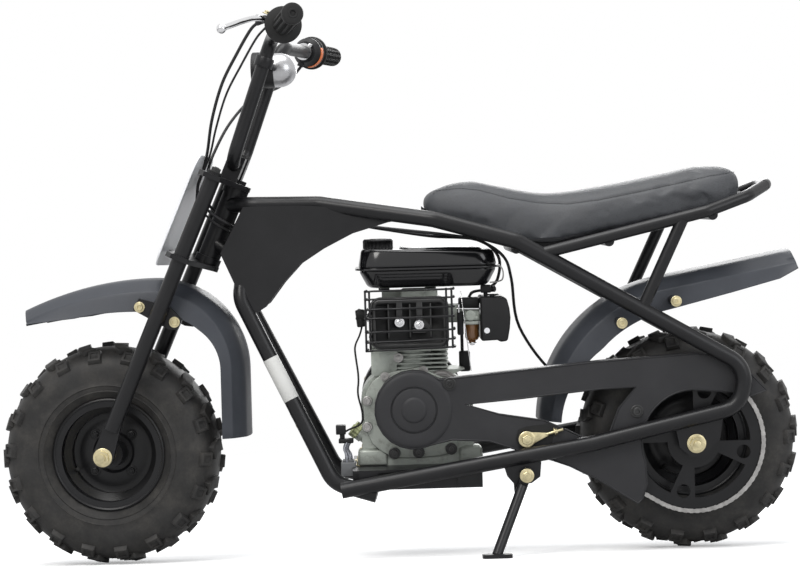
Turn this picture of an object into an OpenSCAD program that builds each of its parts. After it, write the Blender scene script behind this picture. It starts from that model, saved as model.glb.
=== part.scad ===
// Two-wheeled minibike with an open single-cylinder engine, parked on its side stand.
// X points forward, Y to the rider's left and Z up. Heights named h are measured from
// the line through both wheel centres. The upright machine is built first, and leaned()
// then tips it onto its side stand. Lengths are in millimetres, angles in degrees.

/* [Wheels] */
// Distance between the wheel centres
wheelbase = 932; // [900:1:970]
// Tyre diameter over the lugs
tyre_d = 360; // [350:1:372]
// Tyre width over the lugs
tyre_w = 145; // [136:1:148]
// Height of the tread's lugs
lug_h = 7.5; // [6:0.5:9]
// Number of lugs in each row around a tyre
lug_n = 18; // [16:1:20]
// Rim diameter over its flanges
rim_d = 178; // [170:1:186]
// Rim width between the outer faces of its flanges
rim_w = 106; // [96:1:112]
// Diameter of both wheel axles
axle_d = 12; // [10:0.5:14]

/* [Parking] */
// Angle at which the machine leans to the left on its stand
lean = 6.5; // [5:0.1:8]
// How far the handlebar is turned, negative to the right
steer = -4; // [-10:1:10]
// How far the foot of the stand is to the left of the middle plane
foot_y = 176; // [170:1:190]
// How far the foot lies ahead of the stand's pivot
foot_ahead = 52; // [40:1:60]

/* [Fork] */
// Angle between the fork and the vertical
rake = 23.65; // [22:0.05:25]
// Distance of the fork legs in front of the steering axis
leg_x = 28; // [27:1:32]
// Distance of the front axle in front of the steering axis
axle_x = 24; // [22:1:27]
// Distance from the middle plane to each fork leg
leg_y = 95; // [93:1:100]
// Diameter of the fork legs
leg_d = 25; // [22:0.5:26]
// Height of the lower crown above the axle, along the fork
lower_crown_at = 338; // [334:1:342]
// Height of the upper crown above the axle, along the fork
upper_crown_at = 477; // [470:1:484]
// Thickness of the crown plates
crown_t = 8; // [6:0.5:10]
// Outer diameter of the head tube
head_d = 36; // [34:1:40]
// Diameter of the steering stem
stem_d = 20; // [16:1:24]

/* [Handlebar] */
// Diameter of the handlebar tube
bar_d = 22; // [20:0.5:23]
// Distance from the middle plane to each bar end
bar_end_y = 332; // [320:1:345]
// Distance from the middle plane to each riser
riser_y = 62; // [56:1:66]
// Diameter of the rubber grips
grip_d = 33; // [30:0.5:35]
// Length of the rubber grips
grip_l = 112; // [100:1:120]

/* [Frame tubes] */
// Diameter of the main tubes
tube_d = 25; // [22:0.5:26]
// Radius of the tube bends
bend_r = 42; // [36:1:44]
// Distance from the middle plane to the rear tubes and rails
rail_y = 112; // [111:1:118]
// Diameter of the seat rail
seat_tube_d = 19; // [16:0.5:22]
// Thickness of welded plates
plate_t = 4; // [3:0.5:5]

/* [Drive] */
// Distance from the middle plane to the chain
chain_y = 86; // [85.5:0.5:86.5]
// Chain pitch
pitch = 9.525; // [9.525:0.001:9.526]
// Number of teeth on the rear sprocket
rear_teeth = 73; // [70:1:74]
// Number of teeth on the drive sprocket
drive_teeth = 12; // [11:1:14]
// Width of the chain over its pins
chain_w = 11; // [9:0.5:12]
// Distance from the middle plane to the outer face of the chain guard
guard_y = 99; // [98.5:0.5:99]
// Thickness of the chain guard
guard_t = 2.5; // [2:0.25:3]

/* [Bodywork] */
// Half of the width of both fenders
fender_half_w = 76; // [74:1:77]
// Wall thickness of both fenders
fender_t = 3; // [2:0.25:4]
// Half of the width of the seat at its widest place
seat_half_w = 92; // [85:1:100]

/* [Hidden] */
$fn = 48;

frame_black = [0.05, 0.05, 0.05];
plastic_grey = [0.13, 0.14, 0.15];
rubber_black = [0.07, 0.07, 0.07];
steel = [0.72, 0.72, 0.7];
zinc = [0.75, 0.7, 0.45];
cast_metal = [0.55, 0.57, 0.53];

// Clearances
slip = 0.05;        // radial running fit of a shaft in its bore
face_gap = 0.3;     // gap between faces that turn past each other
seat_gap = 0.3;     // gap between a soft part and what carries it

axle_z = tyre_d / 2;
front_x = wheelbase / 2;
rear_x = -wheelbase / 2;
tube_r = tube_d / 2;
leg_r = leg_d / 2;
bar_r = bar_d / 2;
head_r = head_d / 2;
stem_r = stem_d / 2;
axle_r = axle_d / 2;
rim_r = rim_d / 2;

// Point of the upright machine from its place along the machine, its height above the
// axles and its distance to the left
function at(x, h, y = 0) = [x, y, axle_z + h];
function unit(v) = v / norm(v);
function arc(c, r, a0, a1, steps) =
    [for (i = [0:steps]) let (a = a0 + (a1 - a0) * i / steps) c + r * [cos(a), sin(a)]];

// Half of the tyre's outline, from the bead to the middle of the tread, as pairs of
// distance from the middle plane and radius
tyre_mid_r = 128;
tyre_power = 2.5;
tyre_half = tyre_w / 2;
tyre_rise = tyre_d / 2 - tyre_mid_r;
crown_steps = 9;
function crown_point(a) = let (c = cos(a), s = sin(a))
    [tyre_half * pow(c, 2 / tyre_power), tyre_mid_r + tyre_rise * pow(s, 2 / tyre_power)];
tyre_outer = [for (i = [0:crown_steps]) crown_point(90 * i / crown_steps)];

// How far the leaned tyre reaches below its axle
tyre_reach = max([for (p = tyre_outer) p[0] * sin(lean) + p[1] * cos(lean)]);
// Sideways shift that brings the leaned machine's box over the origin
box_shift_y = -76;

module leaned() {
    translate([0, box_shift_y, tyre_reach]) rotate([-lean, 0, 0])
        translate([0, 0, -axle_z]) children();
}

// Point of the steering axis nearest to the front axle
steer_o = [front_x - axle_x * cos(rake), 0, axle_z - axle_x * sin(rake)];

module along_head() {
    translate(steer_o) rotate([0, -rake, 0]) children();
}

// Own frame of the fork: X ahead of the steering axis, Z up along it
module steered() {
    along_head() rotate([0, 0, steer]) children();
}

// What is given in the frame of the straight machine and turns with the fork
module turned() {
    steered() rotate([0, rake, 0]) translate(-steer_o) children();
}

module both_sides() {
    children();
    mirror([0, 1, 0]) children();
}

// Round bar from one point to another
module rod(a, b, r) {
    d = b - a;
    l = norm(d);
    translate(a) rotate([0, acos(d[2] / l), atan2(d[1], d[0])]) cylinder(r = r, h = l);
}

// Bar with its axis along Y
module across(x, h, y0, y1, r) {
    translate(at(x, h, y0)) rotate([-90, 0, 0]) cylinder(r = r, h = y1 - y0);
}

function turn_at(p, i) = acos(unit(p[i] - p[i - 1]) * unit(p[i + 1] - p[i]));

// Part of a torus that joins two straight lengths of a bent tube
module elbow(a, b, c, r, bend) {
    u = unit(b - a);
    w = unit(c - b);
    turn = acos(u * w);
    n = unit(w - u * (u * w));
    k = cross(u, n);
    o = b - u * bend * tan(turn / 2) + n * bend;
    multmatrix([[-n[0], u[0], k[0], o[0]], [-n[1], u[1], k[1], o[1]],
                [-n[2], u[2], k[2], o[2]], [0, 0, 0, 1]])
        rotate_extrude(angle = turn) translate([bend, 0]) circle(r = r);
}

// Bent tube through the corners p, each rounded to the radius bend. A fine ring, as the
// bender leaves it, marks both ends of each bend
bend_mark = 0.12;
bend_mark_w = 0.8;
module bent_tube(p, r, bend) {
    last = len(p) - 1;
    trim = [for (i = [0:last])
        i == 0 || i == last ? 0 : bend * tan(turn_at(p, i) / 2)];
    for (i = [0:last - 1]) {
        d = unit(p[i + 1] - p[i]);
        a = p[i] + d * trim[i];
        b = p[i + 1] - d * trim[i + 1];
        rod(a, b, r);
        if (i > 0) rod(a - d * bend_mark_w, a + d * bend_mark_w, r + bend_mark);
        if (i < last - 1) rod(b - d * bend_mark_w, b + d * bend_mark_w, r + bend_mark);
    }
    for (i = [1:last - 1]) elbow(p[i - 1], p[i], p[i + 1], r, bend);
}

// Plate with its outline in the X-Z plane of the machine, given as [x, h] points
module side_plate(outline, y0, y1) {
    translate([0, y1, axle_z]) rotate([90, 0, 0])
        linear_extrude(y1 - y0) polygon(outline);
}

// Rounded rectangle from corner a to corner b
module rounded(a, b, r) {
    hull() for (x = [a[0] + r, b[0] - r], y = [a[1] + r, b[1] - r])
        translate([x, y]) circle(r = r);
}

// Rounded rectangle from exact arcs and straight edges
function round_box(a, b, r, n = 6) = concat(
    arc([b[0] - r, b[1] - r], r, 0, 90, n), arc([a[0] + r, b[1] - r], r, 90, 180, n),
    arc([a[0] + r, a[1] + r], r, 180, 270, n), arc([b[0] - r, a[1] + r], r, 270, 360, n));

function reversed(p) = [for (i = [len(p) - 1:-1:0]) p[i]];

// Outline moved inwards by d, for an outline that runs counter-clockwise
function inset(p, d) = let (n = len(p)) [for (i = [0:n - 1])
    let (a = p[(i + n - 1) % n], b = p[i], c = p[(i + 1) % n],
         u = unit(b - a), w = unit(c - b),
         m = unit([-u[1] - w[1], u[0] + w[0]]),
         k = max(0.35, m * [-u[1], u[0]]))
    b + m * d / k];

// Head tube with its bearing cups
head_bottom = lower_crown_at + crown_t / 2 + face_gap;
head_top = upper_crown_at - crown_t / 2 - face_gap;
cup_r = head_r + 3;
cup_h = 11;
module head_solid() {
    along_head() {
        translate([0, 0, head_bottom]) cylinder(r = head_r, h = head_top - head_bottom);
        translate([0, 0, head_bottom]) cylinder(r = cup_r, h = cup_h);
        translate([0, 0, head_top - cup_h]) cylinder(r = cup_r, h = cup_h);
    }
}
module head_tube() {
    color(frame_black) leaned() difference() {
        head_solid();
        along_head() translate([0, 0, head_bottom - 1])
            cylinder(r = stem_r + slip, h = head_top - head_bottom + 2);
    }
}

inner_y = rail_y - tube_r;
// Corners of the tubes on the left side
upper_front = at(front_x - 198, 396, 4);
upper_corner = at(front_x - 230, 396, 39);
upper_knee = at(120, 394, 46);
upper_flare = at(-60, 365, rail_y - 12);
upper_seat = at(-190, 327, rail_y);
bend_top = at(rear_x - 82, 119, rail_y);
bend_low = at(rear_x - 70, 56, rail_y);
rail_knee = at(-300, 4, rail_y);
rail_front = at(96, -59, rail_y);
// Places where a tube is cut square to join the next
upper_end = upper_seat + unit(bend_top - upper_seat) * norm(bend_top - upper_seat) * 0.8;
rail_end = bend_low + unit(rail_knee - bend_low) * 76;
// Point given by its places ahead of, beside and along the steering axis
function head_point(x, y, z) = steer_o + x * [cos(rake), 0, sin(rake)] + [0, y, 0]
    + z * [-sin(rake), 0, cos(rake)];
down_front = head_point(0, 4, lower_crown_at + 40);
down_corner = head_point(-58, 30, lower_crown_at + 28);
down_bend = head_point(-75, 55, lower_crown_at - 26);
down_knee = at(108, -49, 94);
down_end = at(40, -69, 102);

module upper_solid() {
    across(-190, 315, -inner_y - 4, inner_y + 4, cross_r);
    both_sides() bent_tube([upper_front, upper_corner, upper_knee, upper_flare,
        upper_seat, upper_end], tube_r, bend_r);
}
module upper_tubes() {
    color(frame_black) leaned() difference() {
        upper_solid();
        head_solid();
    }
}
module rear_bends() {
    color(frame_black) leaned() both_sides()
        bent_tube([upper_end, bend_top, bend_low, rail_end], tube_r, bend_r);
}
module rail_solid() {
    both_sides() bent_tube([rail_end, rail_knee, rail_front], tube_r, bend_r);
}
module down_solid() {
    both_sides() bent_tube([down_front, down_corner, down_bend, down_knee, down_end],
        tube_r, bend_r);
}
module down_tubes() {
    color(frame_black) leaned() difference() {
        down_solid();
        head_solid();
    }
}
module lower_rails() {
    color(frame_black) leaned() difference() {
        rail_solid();
        down_solid();
    }
}

// Seat rail: from the upper tubes back and up, closed behind the seat
seat_tube_r = seat_tube_d / 2;
rail_start = at(-226, 306, rail_y);
seat_rail_corner = at(-492, 366, rail_y);
seat_rail_side = at(-560, 388, 84);
seat_rail_back = at(-600, 406, 30);
cross_r = 8;
cross_x = [-336, -500];
function seat_rail_h(x) = let (a = rail_start, b = seat_rail_corner)
    a[2] + (b[2] - a[2]) * (x - a[0]) / (b[0] - a[0]) - axle_z;
function other_side(p) = [for (q = reversed(p)) [q[0], -q[1], q[2]]];
seat_rail_left = [rail_start, seat_rail_corner, seat_rail_side, seat_rail_back];
module seat_rail_solid() {
    for (x = cross_x) across(x, seat_rail_h(x) - cross_r, -rail_y, rail_y, cross_r);
    bent_tube(concat(seat_rail_left, other_side(seat_rail_left)), seat_tube_r, 26);
}
module seat_rail() {
    color(frame_black) leaned() difference() {
        seat_rail_solid();
        upper_solid();
    }
}
strut_top = at(-452, 354, rail_y);
strut_low = at(-386, 216, rail_y);
module strut_solid() {
    both_sides() rod(strut_low, strut_top, seat_tube_r);
}
module seat_struts() {
    color(frame_black) leaned() difference() {
        strut_solid();
        upper_solid();
        seat_rail_solid();
    }
}

// Side panels between the head tube, the upper tubes and the down tubes
panel_outline = [[front_x - 187, 318], [front_x - 225, 392], [150, 392], [70, 386],
    [-14, 373], [-22, 366], [10, 361], [66, 345], [112, 322], [150, 298], [180, 266],
    [206, 232], [222, 222], [238, 226]];
module panel_plate() {
    translate(at(240, 396, 40)) rotate([0, 0, -4.9]) rotate([4.2, 0, 0])
        translate(-at(240, 396, 40)) side_plate(panel_outline, 47, 50);
}
module side_panels() {
    color(frame_black) leaned() difference() {
        both_sides() panel_plate();
        upper_solid();
        down_solid();
        head_solid();
    }
}

// Level plate that carries the engine between the rails
plate_top = -30;
plate_x0 = -128;
plate_x1 = 78;
module engine_plate() {
    color(frame_black) leaned() difference() {
        union() {
            translate(at(plate_x0, plate_top - plate_t, -inner_y))
                cube([plate_x1 - plate_x0, 2 * inner_y, plate_t]);
            both_sides() translate(at(plate_x0, plate_top - 32, inner_y - 9))
                cube([plate_x1 - plate_x0, plate_t, 32]);
            for (x = [plate_x0 + 10, plate_x1 - 40])
                translate(at(x, plate_top - 26, -inner_y)) cube([30, 2 * inner_y, 24]);
        }
        for (x = [-90, 40]) translate(at(x, -80, 0)) cylinder(r = 12, h = 80);
        rail_solid();
        down_solid();
    }
}

// Plates under the rear bends that hold the rear axle
drop_plate = [[rear_x - 44, 48], [rear_x - 38, 8], [rear_x - 14, -19],
    [rear_x + 8, -21], [rear_x + 26, -6], [rear_x + 34, 34]];
axle_plate_y = rail_y - plate_t / 2;
module axle_plates() {
    color(frame_black) leaned() difference() {
        both_sides() side_plate(drop_plate, axle_plate_y, axle_plate_y + plate_t);
        both_sides() bent_tube([upper_end, bend_top, bend_low, rail_end], tube_r, bend_r);
        rail_solid();
        across(rear_x, 0, -200, 200, axle_r);
    }
}
hub_half = 50;
spacer_r = 11;
nut_r = 11.5;
module rear_axle() {
    color(zinc) leaned() {
        across(rear_x, 0, -axle_plate_y - plate_t - 14, axle_plate_y + plate_t + 14, axle_r);
        for (s = [-1, 1]) {
            y0 = hub_half + face_gap;
            y1 = axle_plate_y;
            across(rear_x, 0, s > 0 ? y0 : -y1, s > 0 ? y1 : -y0, spacer_r);
            n0 = axle_plate_y + plate_t;
            translate(at(rear_x, 0, s > 0 ? n0 : -n0 - 10)) rotate([-90, 0, 0])
                cylinder(r = nut_r, h = 10, $fn = 6);
        }
    }
}

// Side stand, its bracket and its pivot pin
stand_x = -196;
stand_h = -41;
pin_r = 5;
bracket_y = rail_y - 2;
bracket_t = 6;
eye_y = bracket_y + bracket_t + face_gap;
eye_t = 10;
eye_r = 11.5;
bracket_outline = [[stand_x + 34, stand_h + 11], [stand_x + 30, stand_h - 2],
    [stand_x + 20, stand_h - 14], [stand_x + 19, stand_h - 36], [stand_x + 12, stand_h - 36],
    [stand_x + 9, stand_h - 14], [stand_x - 8, stand_h - 14], [stand_x - 22, stand_h - 4],
    [stand_x - 24, stand_h + 18], [stand_x - 24, stand_h + 27], [stand_x + 34, stand_h + 27]];
module stand_bracket() {
    color(frame_black) leaned() difference() {
        union() {
            side_plate(bracket_outline, bracket_y, bracket_y + bracket_t);
            across(stand_x, stand_h, bracket_y, eye_y + eye_t + 5, pin_r);
            across(stand_x, stand_h, eye_y + eye_t + face_gap, eye_y + eye_t + 5, pin_r + 3);
        }
        rail_solid();
    }
}
foot_t = 6;
foot_z = axle_z + (foot_y * sin(lean) - tyre_reach + foot_t) / cos(lean);
foot_point = [stand_x + foot_ahead, foot_y, foot_z];
eye_point = at(stand_x, stand_h, eye_y + eye_t / 2);
stand_r = 8;
module kickstand() {
    color(frame_black) difference() {
        union() {
            leaned() {
                across(stand_x, stand_h, eye_y, eye_y + eye_t, eye_r);
                difference() {
                    rod(eye_point, foot_point, stand_r);
                    across(stand_x, stand_h, eye_y - 20, eye_y, 30);
                    across(stand_x, stand_h, eye_y + eye_t, eye_y + eye_t + 20, 16);
                }
                intersection() {
                    rod(foot_point - [0, 0, 0], foot_point + [0, 0, 10], stand_r);
                    rod(eye_point, foot_point + unit(foot_point - eye_point) * 20, stand_r);
                }
            }
            foot_pad();
        }
        leaned() across(stand_x, stand_h, eye_y - 1, eye_y + eye_t + 1, pin_r + slip);
    }
}
// Flat foot on the ground, given in the ground's own frame
function ground_point(p) = let (y = p[1], z = p[2] - axle_z)
    [p[0], y * cos(lean) + z * sin(lean) + box_shift_y,
     -y * sin(lean) + z * cos(lean) + tyre_reach];
foot_l = 46;
foot_w = 40;
module foot_pad() {
    g = ground_point(foot_point);
    translate([g[0] - foot_l / 2, g[1] - foot_w / 2, 0])
        linear_extrude(foot_t) polygon(round_box([0, 0], [foot_l, foot_w], 9));
}

// Seat: stations from front to rear
// Columns: x, height of the top, height of the edge, half width
seat_table = [
    [-44, 396, 386, 30], [-54, 412, 378, 52], [-76, 422, 368, 64], [-112, 425, 354, 74],
    [-172, 411, 331, 84], [-246, 398, 322, 90], [-336, 407, 338, 92], [-418, 421, 354, 91],
    [-480, 433, 366, 87], [-524, 441, 375, 80], [-548, 434, 386, 66], [-558, 416, 396, 46]];
seat_power = 3;
seat_sides = 20;
// Closed ring of the seat's section: a flat bottom and a crowned top
function seat_ring(s) = [for (i = [0:seat_sides])
    let (a = 180 * i / seat_sides, c = cos(a), q = sin(a),
         w = s[3] * seat_half_w / 92)
    at(s[0], s[2] + (s[1] - s[2]) * pow(q, 2 / seat_power),
       w * sign(c) * pow(abs(c), 2 / seat_power))];
// Skin over rings with the same number of points. The ends are closed by strips between
// the first and the second half of a ring, so that a hollow section stays hollow
module skin(rings) {
    n = len(rings[0]);
    m = len(rings);
    points = [for (r = rings) each r];
    sides = [for (j = [0:m - 2], i = [0:n - 1]) let (k = (i + 1) % n)
        each [[j * n + i, (j + 1) * n + i, (j + 1) * n + k],
              [j * n + i, (j + 1) * n + k, j * n + k]]];
    near = [for (i = [0:ceil(n / 2) - 2]) let (a = i + 1, b = n - 1 - i, c = n - 2 - i)
        each a == c ? [[i, a, b]] : [[i, a, b], [a, c, b]]];
    far = [for (t = near) [for (q = [2:-1:0]) (m - 1) * n + t[q]]];
    polyhedron(points, concat(sides, near, far));
}
module seat() {
    color(plastic_grey) leaned() skin([for (s = seat_table) seat_ring(s)]);
}
// Pan under the seat, following its edge
pan_t = 10;
pan_half = 60;
seat_pan = concat(
    [for (s = seat_table) [s[0], s[2] - seat_gap]],
    [for (i = [len(seat_table) - 1:-1:0]) [seat_table[i][0], seat_table[i][2] - seat_gap - pan_t]]);
module seat_base() {
    color(rubber_black) leaned() difference() {
        intersection() {
            side_plate(seat_pan, -pan_half, pan_half);
            translate([0, 0, axle_z + 200]) linear_extrude(300)
                polygon([for (s = seat_table) [s[0], min(pan_half, s[3] - 12)],
                    for (i = [len(seat_table) - 1:-1:0])
                        [seat_table[i][0], -min(pan_half, seat_table[i][3] - 12)]]);
        }
        seat_rail_solid();
        upper_solid();
    }
}

// Fenders: stations along a path of arcs and straight lengths. Each station gives a
// place on the crown and the direction square to it, and the section hangs from there:
// a flat crown, a sloping shoulder down to the crease, and a skirt
crown_drop = 19;
flat_half = 30;
crease_in = 9;
// Outer half section at a skirt depth s, as pairs of distance to the left and drop
function half_section(s) = [[flat_half, 0], [(flat_half + fender_half_w) / 2, 5],
    [fender_half_w - crease_in, crown_drop], [fender_half_w, crown_drop + s]];
function left_right(p) = concat([for (q = reversed(p)) [-q[0], q[1]]], p);
function fender_ring(p, n, s) = let (
    outer = left_right(half_section(s)),
    inner = [for (q = reversed(outer))
        [q[0] * (1 - fender_t / fender_half_w), q[1] + (abs(q[0]) > flat_half * 2 ? 0 : fender_t)]])
    [for (q = concat(outer, inner)) [p[0] - n[0] * q[1], q[0], p[1] - n[1] * q[1]]];
// The skirt's depth comes from a table of [x, depth] pairs
module fender_shell(stations, skirts) {
    translate([0, 0, axle_z])
        skin([for (q = stations) fender_ring([q[0], q[1]], [q[2], q[3]], lookup(q[0], skirts))]);
}
// Stations on an arc, and on a straight length that leaves it at angle a
function arc_stations(c, r, a0, a1, n) = [for (i = [0:n])
    let (a = a0 + (a1 - a0) * i / n) [c[0] + r * cos(a), c[1] + r * sin(a), cos(a), sin(a)]];
function straight_stations(q, d, l, n) = [for (i = [1:n])
    [q[0] + d[0] * l * i / n, q[1] + d[1] * l * i / n, q[2], q[3]]];

front_crest = [front_x - 75, 280];
front_r = 148;
front_long_r = 500;
front_long_angle = 24.5;
front_tail = 109;
front_stations = let (
    long = arc_stations(front_crest - [0, front_long_r], front_long_r,
        90 - front_long_angle, 90, 7),
    turn = arc_stations(front_crest - [0, front_r], front_r, 90, 180, 10),
    last = turn[len(turn) - 1])
    concat(long, [for (i = [1:len(turn) - 1]) turn[i]],
        straight_stations(last, [0, -1], front_tail, 3));
front_skirts = [[front_x - 230, 15], [front_x - 222, 16], [front_x - 190, 26],
    [front_x - 150, 32], [front_x - 75, 33], [front_x, 28], [front_x + 60, 24],
    [front_x + 100, 15], [front_x + 140, 3]];
module front_fender() {
    color(plastic_grey) leaned() turned() fender_shell(front_stations, front_skirts);
}
// Plates between the fork legs and the sides of the front fender
fender_bolts = [[front_x - 63, 236], [front_x - 118, 211]];
module fender_brackets() {
    y0 = fender_half_w + 0.5;
    y1 = leg_y - leg_r + 3;
    color(frame_black) leaned() turned() difference() {
        both_sides() side_plate([[front_x - 52, 232], [front_x - 62, 250],
            [front_x - 110, 236], [front_x - 130, 214], [front_x - 122, 198],
            [front_x - 108, 200]], y0, y1);
        translate(steer_o) rotate([0, -rake, 0]) both_sides()
            translate([leg_x, leg_y, 0]) cylinder(r = leg_r, h = upper_crown_at);
    }
}

rear_fender_c = [rear_x + 3, 24];
rear_fender_r = 240;
rear_fender_end = 79.6;
rear_fender_l = 219;
rear_stations = let (
    turn = arc_stations(rear_fender_c, rear_fender_r, 3, rear_fender_end, 12),
    last = turn[len(turn) - 1])
    concat(turn, straight_stations(last, [-last[3], last[2]], rear_fender_l, 6));
rear_skirts = [[rear_x - 172, 8], [rear_x - 140, 20], [rear_x - 60, 26], [rear_x + 40, 32],
    [rear_x + 110, 34], [rear_x + 180, 34], [rear_x + 220, 24], [rear_x + 243, 14]];
module rear_fender() {
    color(plastic_grey) leaned() mirror([0, 1, 0]) fender_shell(rear_stations, rear_skirts);
}
// Stays between the rear fender and the frame tubes
// Columns: x, height, drop below the crown, depth of the skirt there
stay_bolts = [[rear_x + 114, 194, 37, 34], [rear_x + 28, 226, 36.8, 31]];
stay_r = 7;
// How far the side of a fender lies from the middle plane at a drop below its crown
function side_at(drop, s) = fender_half_w - crease_in + crease_in * (drop - crown_drop) / s;
module fender_stays() {
    color(frame_black) leaned() difference() {
        both_sides() for (b = stay_bolts)
            across(b[0], b[1], side_at(b[2] + stay_r, b[3]) + seat_gap, rail_y, stay_r);
        upper_solid();
        strut_solid();
    }
}

// Chain drive. The drive sprocket sits on the engine's shaft
crank_x = -22;
crank_h = 64;
rear_pitch_r = pitch / (2 * sin(180 / rear_teeth));
drive_pitch_r = pitch / (2 * sin(180 / drive_teeth));
chain_half_h = 4.6;
// The lower run is lifted by an idler roller on the tensioner
idler = [-199, 13];
idler_r = 11;
idler_pitch_r = idler_r + chain_half_h + face_gap;
function heading(a, b) = atan2(b[1] - a[1], b[0] - a[0]);
crank = [crank_x, crank_h];
hub = [rear_x, 0];
top_angle = heading(hub, crank) + acos((rear_pitch_r - drive_pitch_r) / norm(crank - hub));
rear_low_angle = heading(hub, idler) - acos((rear_pitch_r + idler_pitch_r) / norm(idler - hub));
front_low_angle = 360 + heading(crank, idler)
    + acos((drive_pitch_r + idler_pitch_r) / norm(crank - idler));
// Outline at a distance d outside the pitch line
function belt(d) = concat(
    arc(hub, rear_pitch_r + d, top_angle, 360 + rear_low_angle, 48),
    arc(idler, d - idler_pitch_r, 360 + rear_low_angle, front_low_angle, 4),
    arc(crank, drive_pitch_r + d, front_low_angle, 360 + top_angle, 12));
// Points along the pitch line, half a link apart, each with its outward direction
belt_turns = [[hub, rear_pitch_r, top_angle, 360 + rear_low_angle],
    [idler, -idler_pitch_r, 360 + rear_low_angle, front_low_angle],
    [crank, drive_pitch_r, front_low_angle, 360 + top_angle]];
function turn_point(t, a) = t[0] + t[1] * [cos(a), sin(a)];
// Outline with a waist in every link: arcs in steps of half a pitch, and straight runs
function waist(i, d) = i % 2 == 0 ? d : d * 0.72;
function run_points(a, b, n, d) = let (u = unit(b - a), o = [u[1], -u[0]])
    [for (i = [1:n - 1]) a + (b - a) * i / n + o * waist(i, d)];
function turn_points(t, d) = let (n = 2 * max(1, round(abs(t[1] * (t[3] - t[2])) * PI / 180 / pitch)))
    [for (i = [0:n]) let (a = t[2] + (t[3] - t[2]) * i / n)
        turn_point(t, a) + waist(i, d) * [cos(a), sin(a)]];
function run_between(t, q, d) = let (a = turn_point(t, t[3]), b = turn_point(q, q[2]))
    run_points(a, b, 2 * max(1, round(norm(b - a) / pitch)), d);
function link_line(d) = [for (k = [0:2]) each concat(turn_points(belt_turns[k], d),
    run_between(belt_turns[k], belt_turns[(k + 1) % 3], d))];
module chain() {
    color(steel) leaned() difference() {
        side_plate(link_line(chain_half_h), chain_y - chain_w / 2, chain_y + chain_w / 2);
        side_plate(link_line(-chain_half_h), chain_y - chain_w, chain_y + chain_w);
        // Room for the teeth of the rear sprocket
        across(rear_x, 0, chain_y - sprocket_t / 2 - 1, chain_y + sprocket_t / 2 + 1,
            rear_pitch_r + 2.6);
    }
}
// Outline of a sprocket: four points a tooth
function tooth_line(n, r) = [for (i = [0:n - 1], k = [[0, -2.6], [0.32, -1.2], [0.43, 2], [0.57, 2],
    [0.68, -1.2]]) let (a = (i + k[0]) * 360 / n) (r + k[1]) * [cos(a), sin(a)]];
sprocket_t = 3;
module rear_sprocket() {
    color(steel) leaned() difference() {
        side_plate([for (p = tooth_line(rear_teeth, rear_pitch_r)) p + hub],
            chain_y - sprocket_t / 2, chain_y + sprocket_t / 2);
        across(rear_x, 0, chain_y - 10, chain_y + 10, carrier_r);
        for (a = [13:90:283]) rotate_about_axle(a) across(rear_x + 81, 0, chain_y - 10,
            chain_y + 10, 11);
        for (a = [58:90:328]) rotate_about_axle(a) difference() {
            across(rear_x, 0, chain_y - 10, chain_y + 10, 90);
            across(rear_x, 0, chain_y - 11, chain_y + 11, 42);
            for (s = [-1, 1]) rotate_about_axle(s * 32)
                translate(at(rear_x - 100, s > 0 ? 0 : -100, chain_y - 12))
                    cube([200, 24, 100]);
            translate(at(rear_x - 100, -100, chain_y - 12)) cube([100, 24, 200]);
        }
    }
}
module rotate_about_axle(a) {
    translate(at(rear_x, 0)) rotate([0, -a, 0]) translate(-at(rear_x, 0)) children();
}
clutch_r = 44;
module clutch() {
    color(steel) leaned() {
        across(crank_x, crank_h, 48, 60, 12.5);
        difference() {
            across(crank_x, crank_h, 60, 78, clutch_r);
            across(crank_x, crank_h, 70, 79, clutch_r - 4);
        }
        across(crank_x, crank_h, 60, guard_y - guard_t - 1, 10);
        across(crank_x, crank_h, chain_y - 1.5, chain_y + 1.5,
            drive_pitch_r - chain_half_h - face_gap);
    }
}

// Chain guard: a cover over the clutch with an arm above and below the chain
guard_outline = concat(
    arc([crank_x, crank_h], 63, 105, -115, 14),
    [[crank_x - 60, 14], [-140, 10], [-169, 0], [-203, -12], [-239, -23], [-266, -33],
     [-314, -58], [rear_x + 93, -96], [rear_x + 84, -88], [rear_x + 76, -64]],
    arc([rear_x, 0], 83, -20, 88, 12),
    [[rear_x - 68, 76], [rear_x - 92, 70], [rear_x - 117, 80]],
    [[rear_x - 84, 116], [rear_x - 40, 136], [rear_x - 5, 142], [-318, 134], [-64, 112]]);
slot_outline = [[-104, 70], [-157, 55], [-228, 43], [-282, 18], [-306, 4],
    [-330, 20], [-345, 58], [-373, 90], [-318, 88], [-188, 76]];
module chain_guard() {
    color(frame_black) leaned() difference() {
        union() {
            side_plate(guard_outline, guard_y - guard_t, guard_y);
            difference() {
                side_plate(guard_outline, guard_y - 20, guard_y - guard_t);
                side_plate(inset(reversed(guard_outline), guard_t), guard_y - 27, guard_y);
                // The lip is left out where the sprocket turns and the chain passes
                across(rear_x, 0, guard_y - 40, guard_y - guard_t, rear_pitch_r + 14);
                side_plate(belt(chain_half_h + 4), guard_y - 40, guard_y - guard_t);
            }
        }
        side_plate(slot_outline, guard_y - 30, guard_y + 1);
        across(idler[0], idler[1], guard_y - 10, guard_y + 1, 6);
    }
}
module chain_tensioner() {
    color(zinc) leaned() {
        across(idler[0], idler[1], chain_y - 4, chain_y + 4, idler_r);
        across(idler[0], idler[1], chain_y + 4, guard_y, 6);
        across(idler[0], idler[1], guard_y, guard_y + 8, 10);
        rod(at(idler[0] - 6, idler[1] + 1, guard_y + 4), at(-256, 25, guard_y + 4), 4);
    }
}

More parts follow.
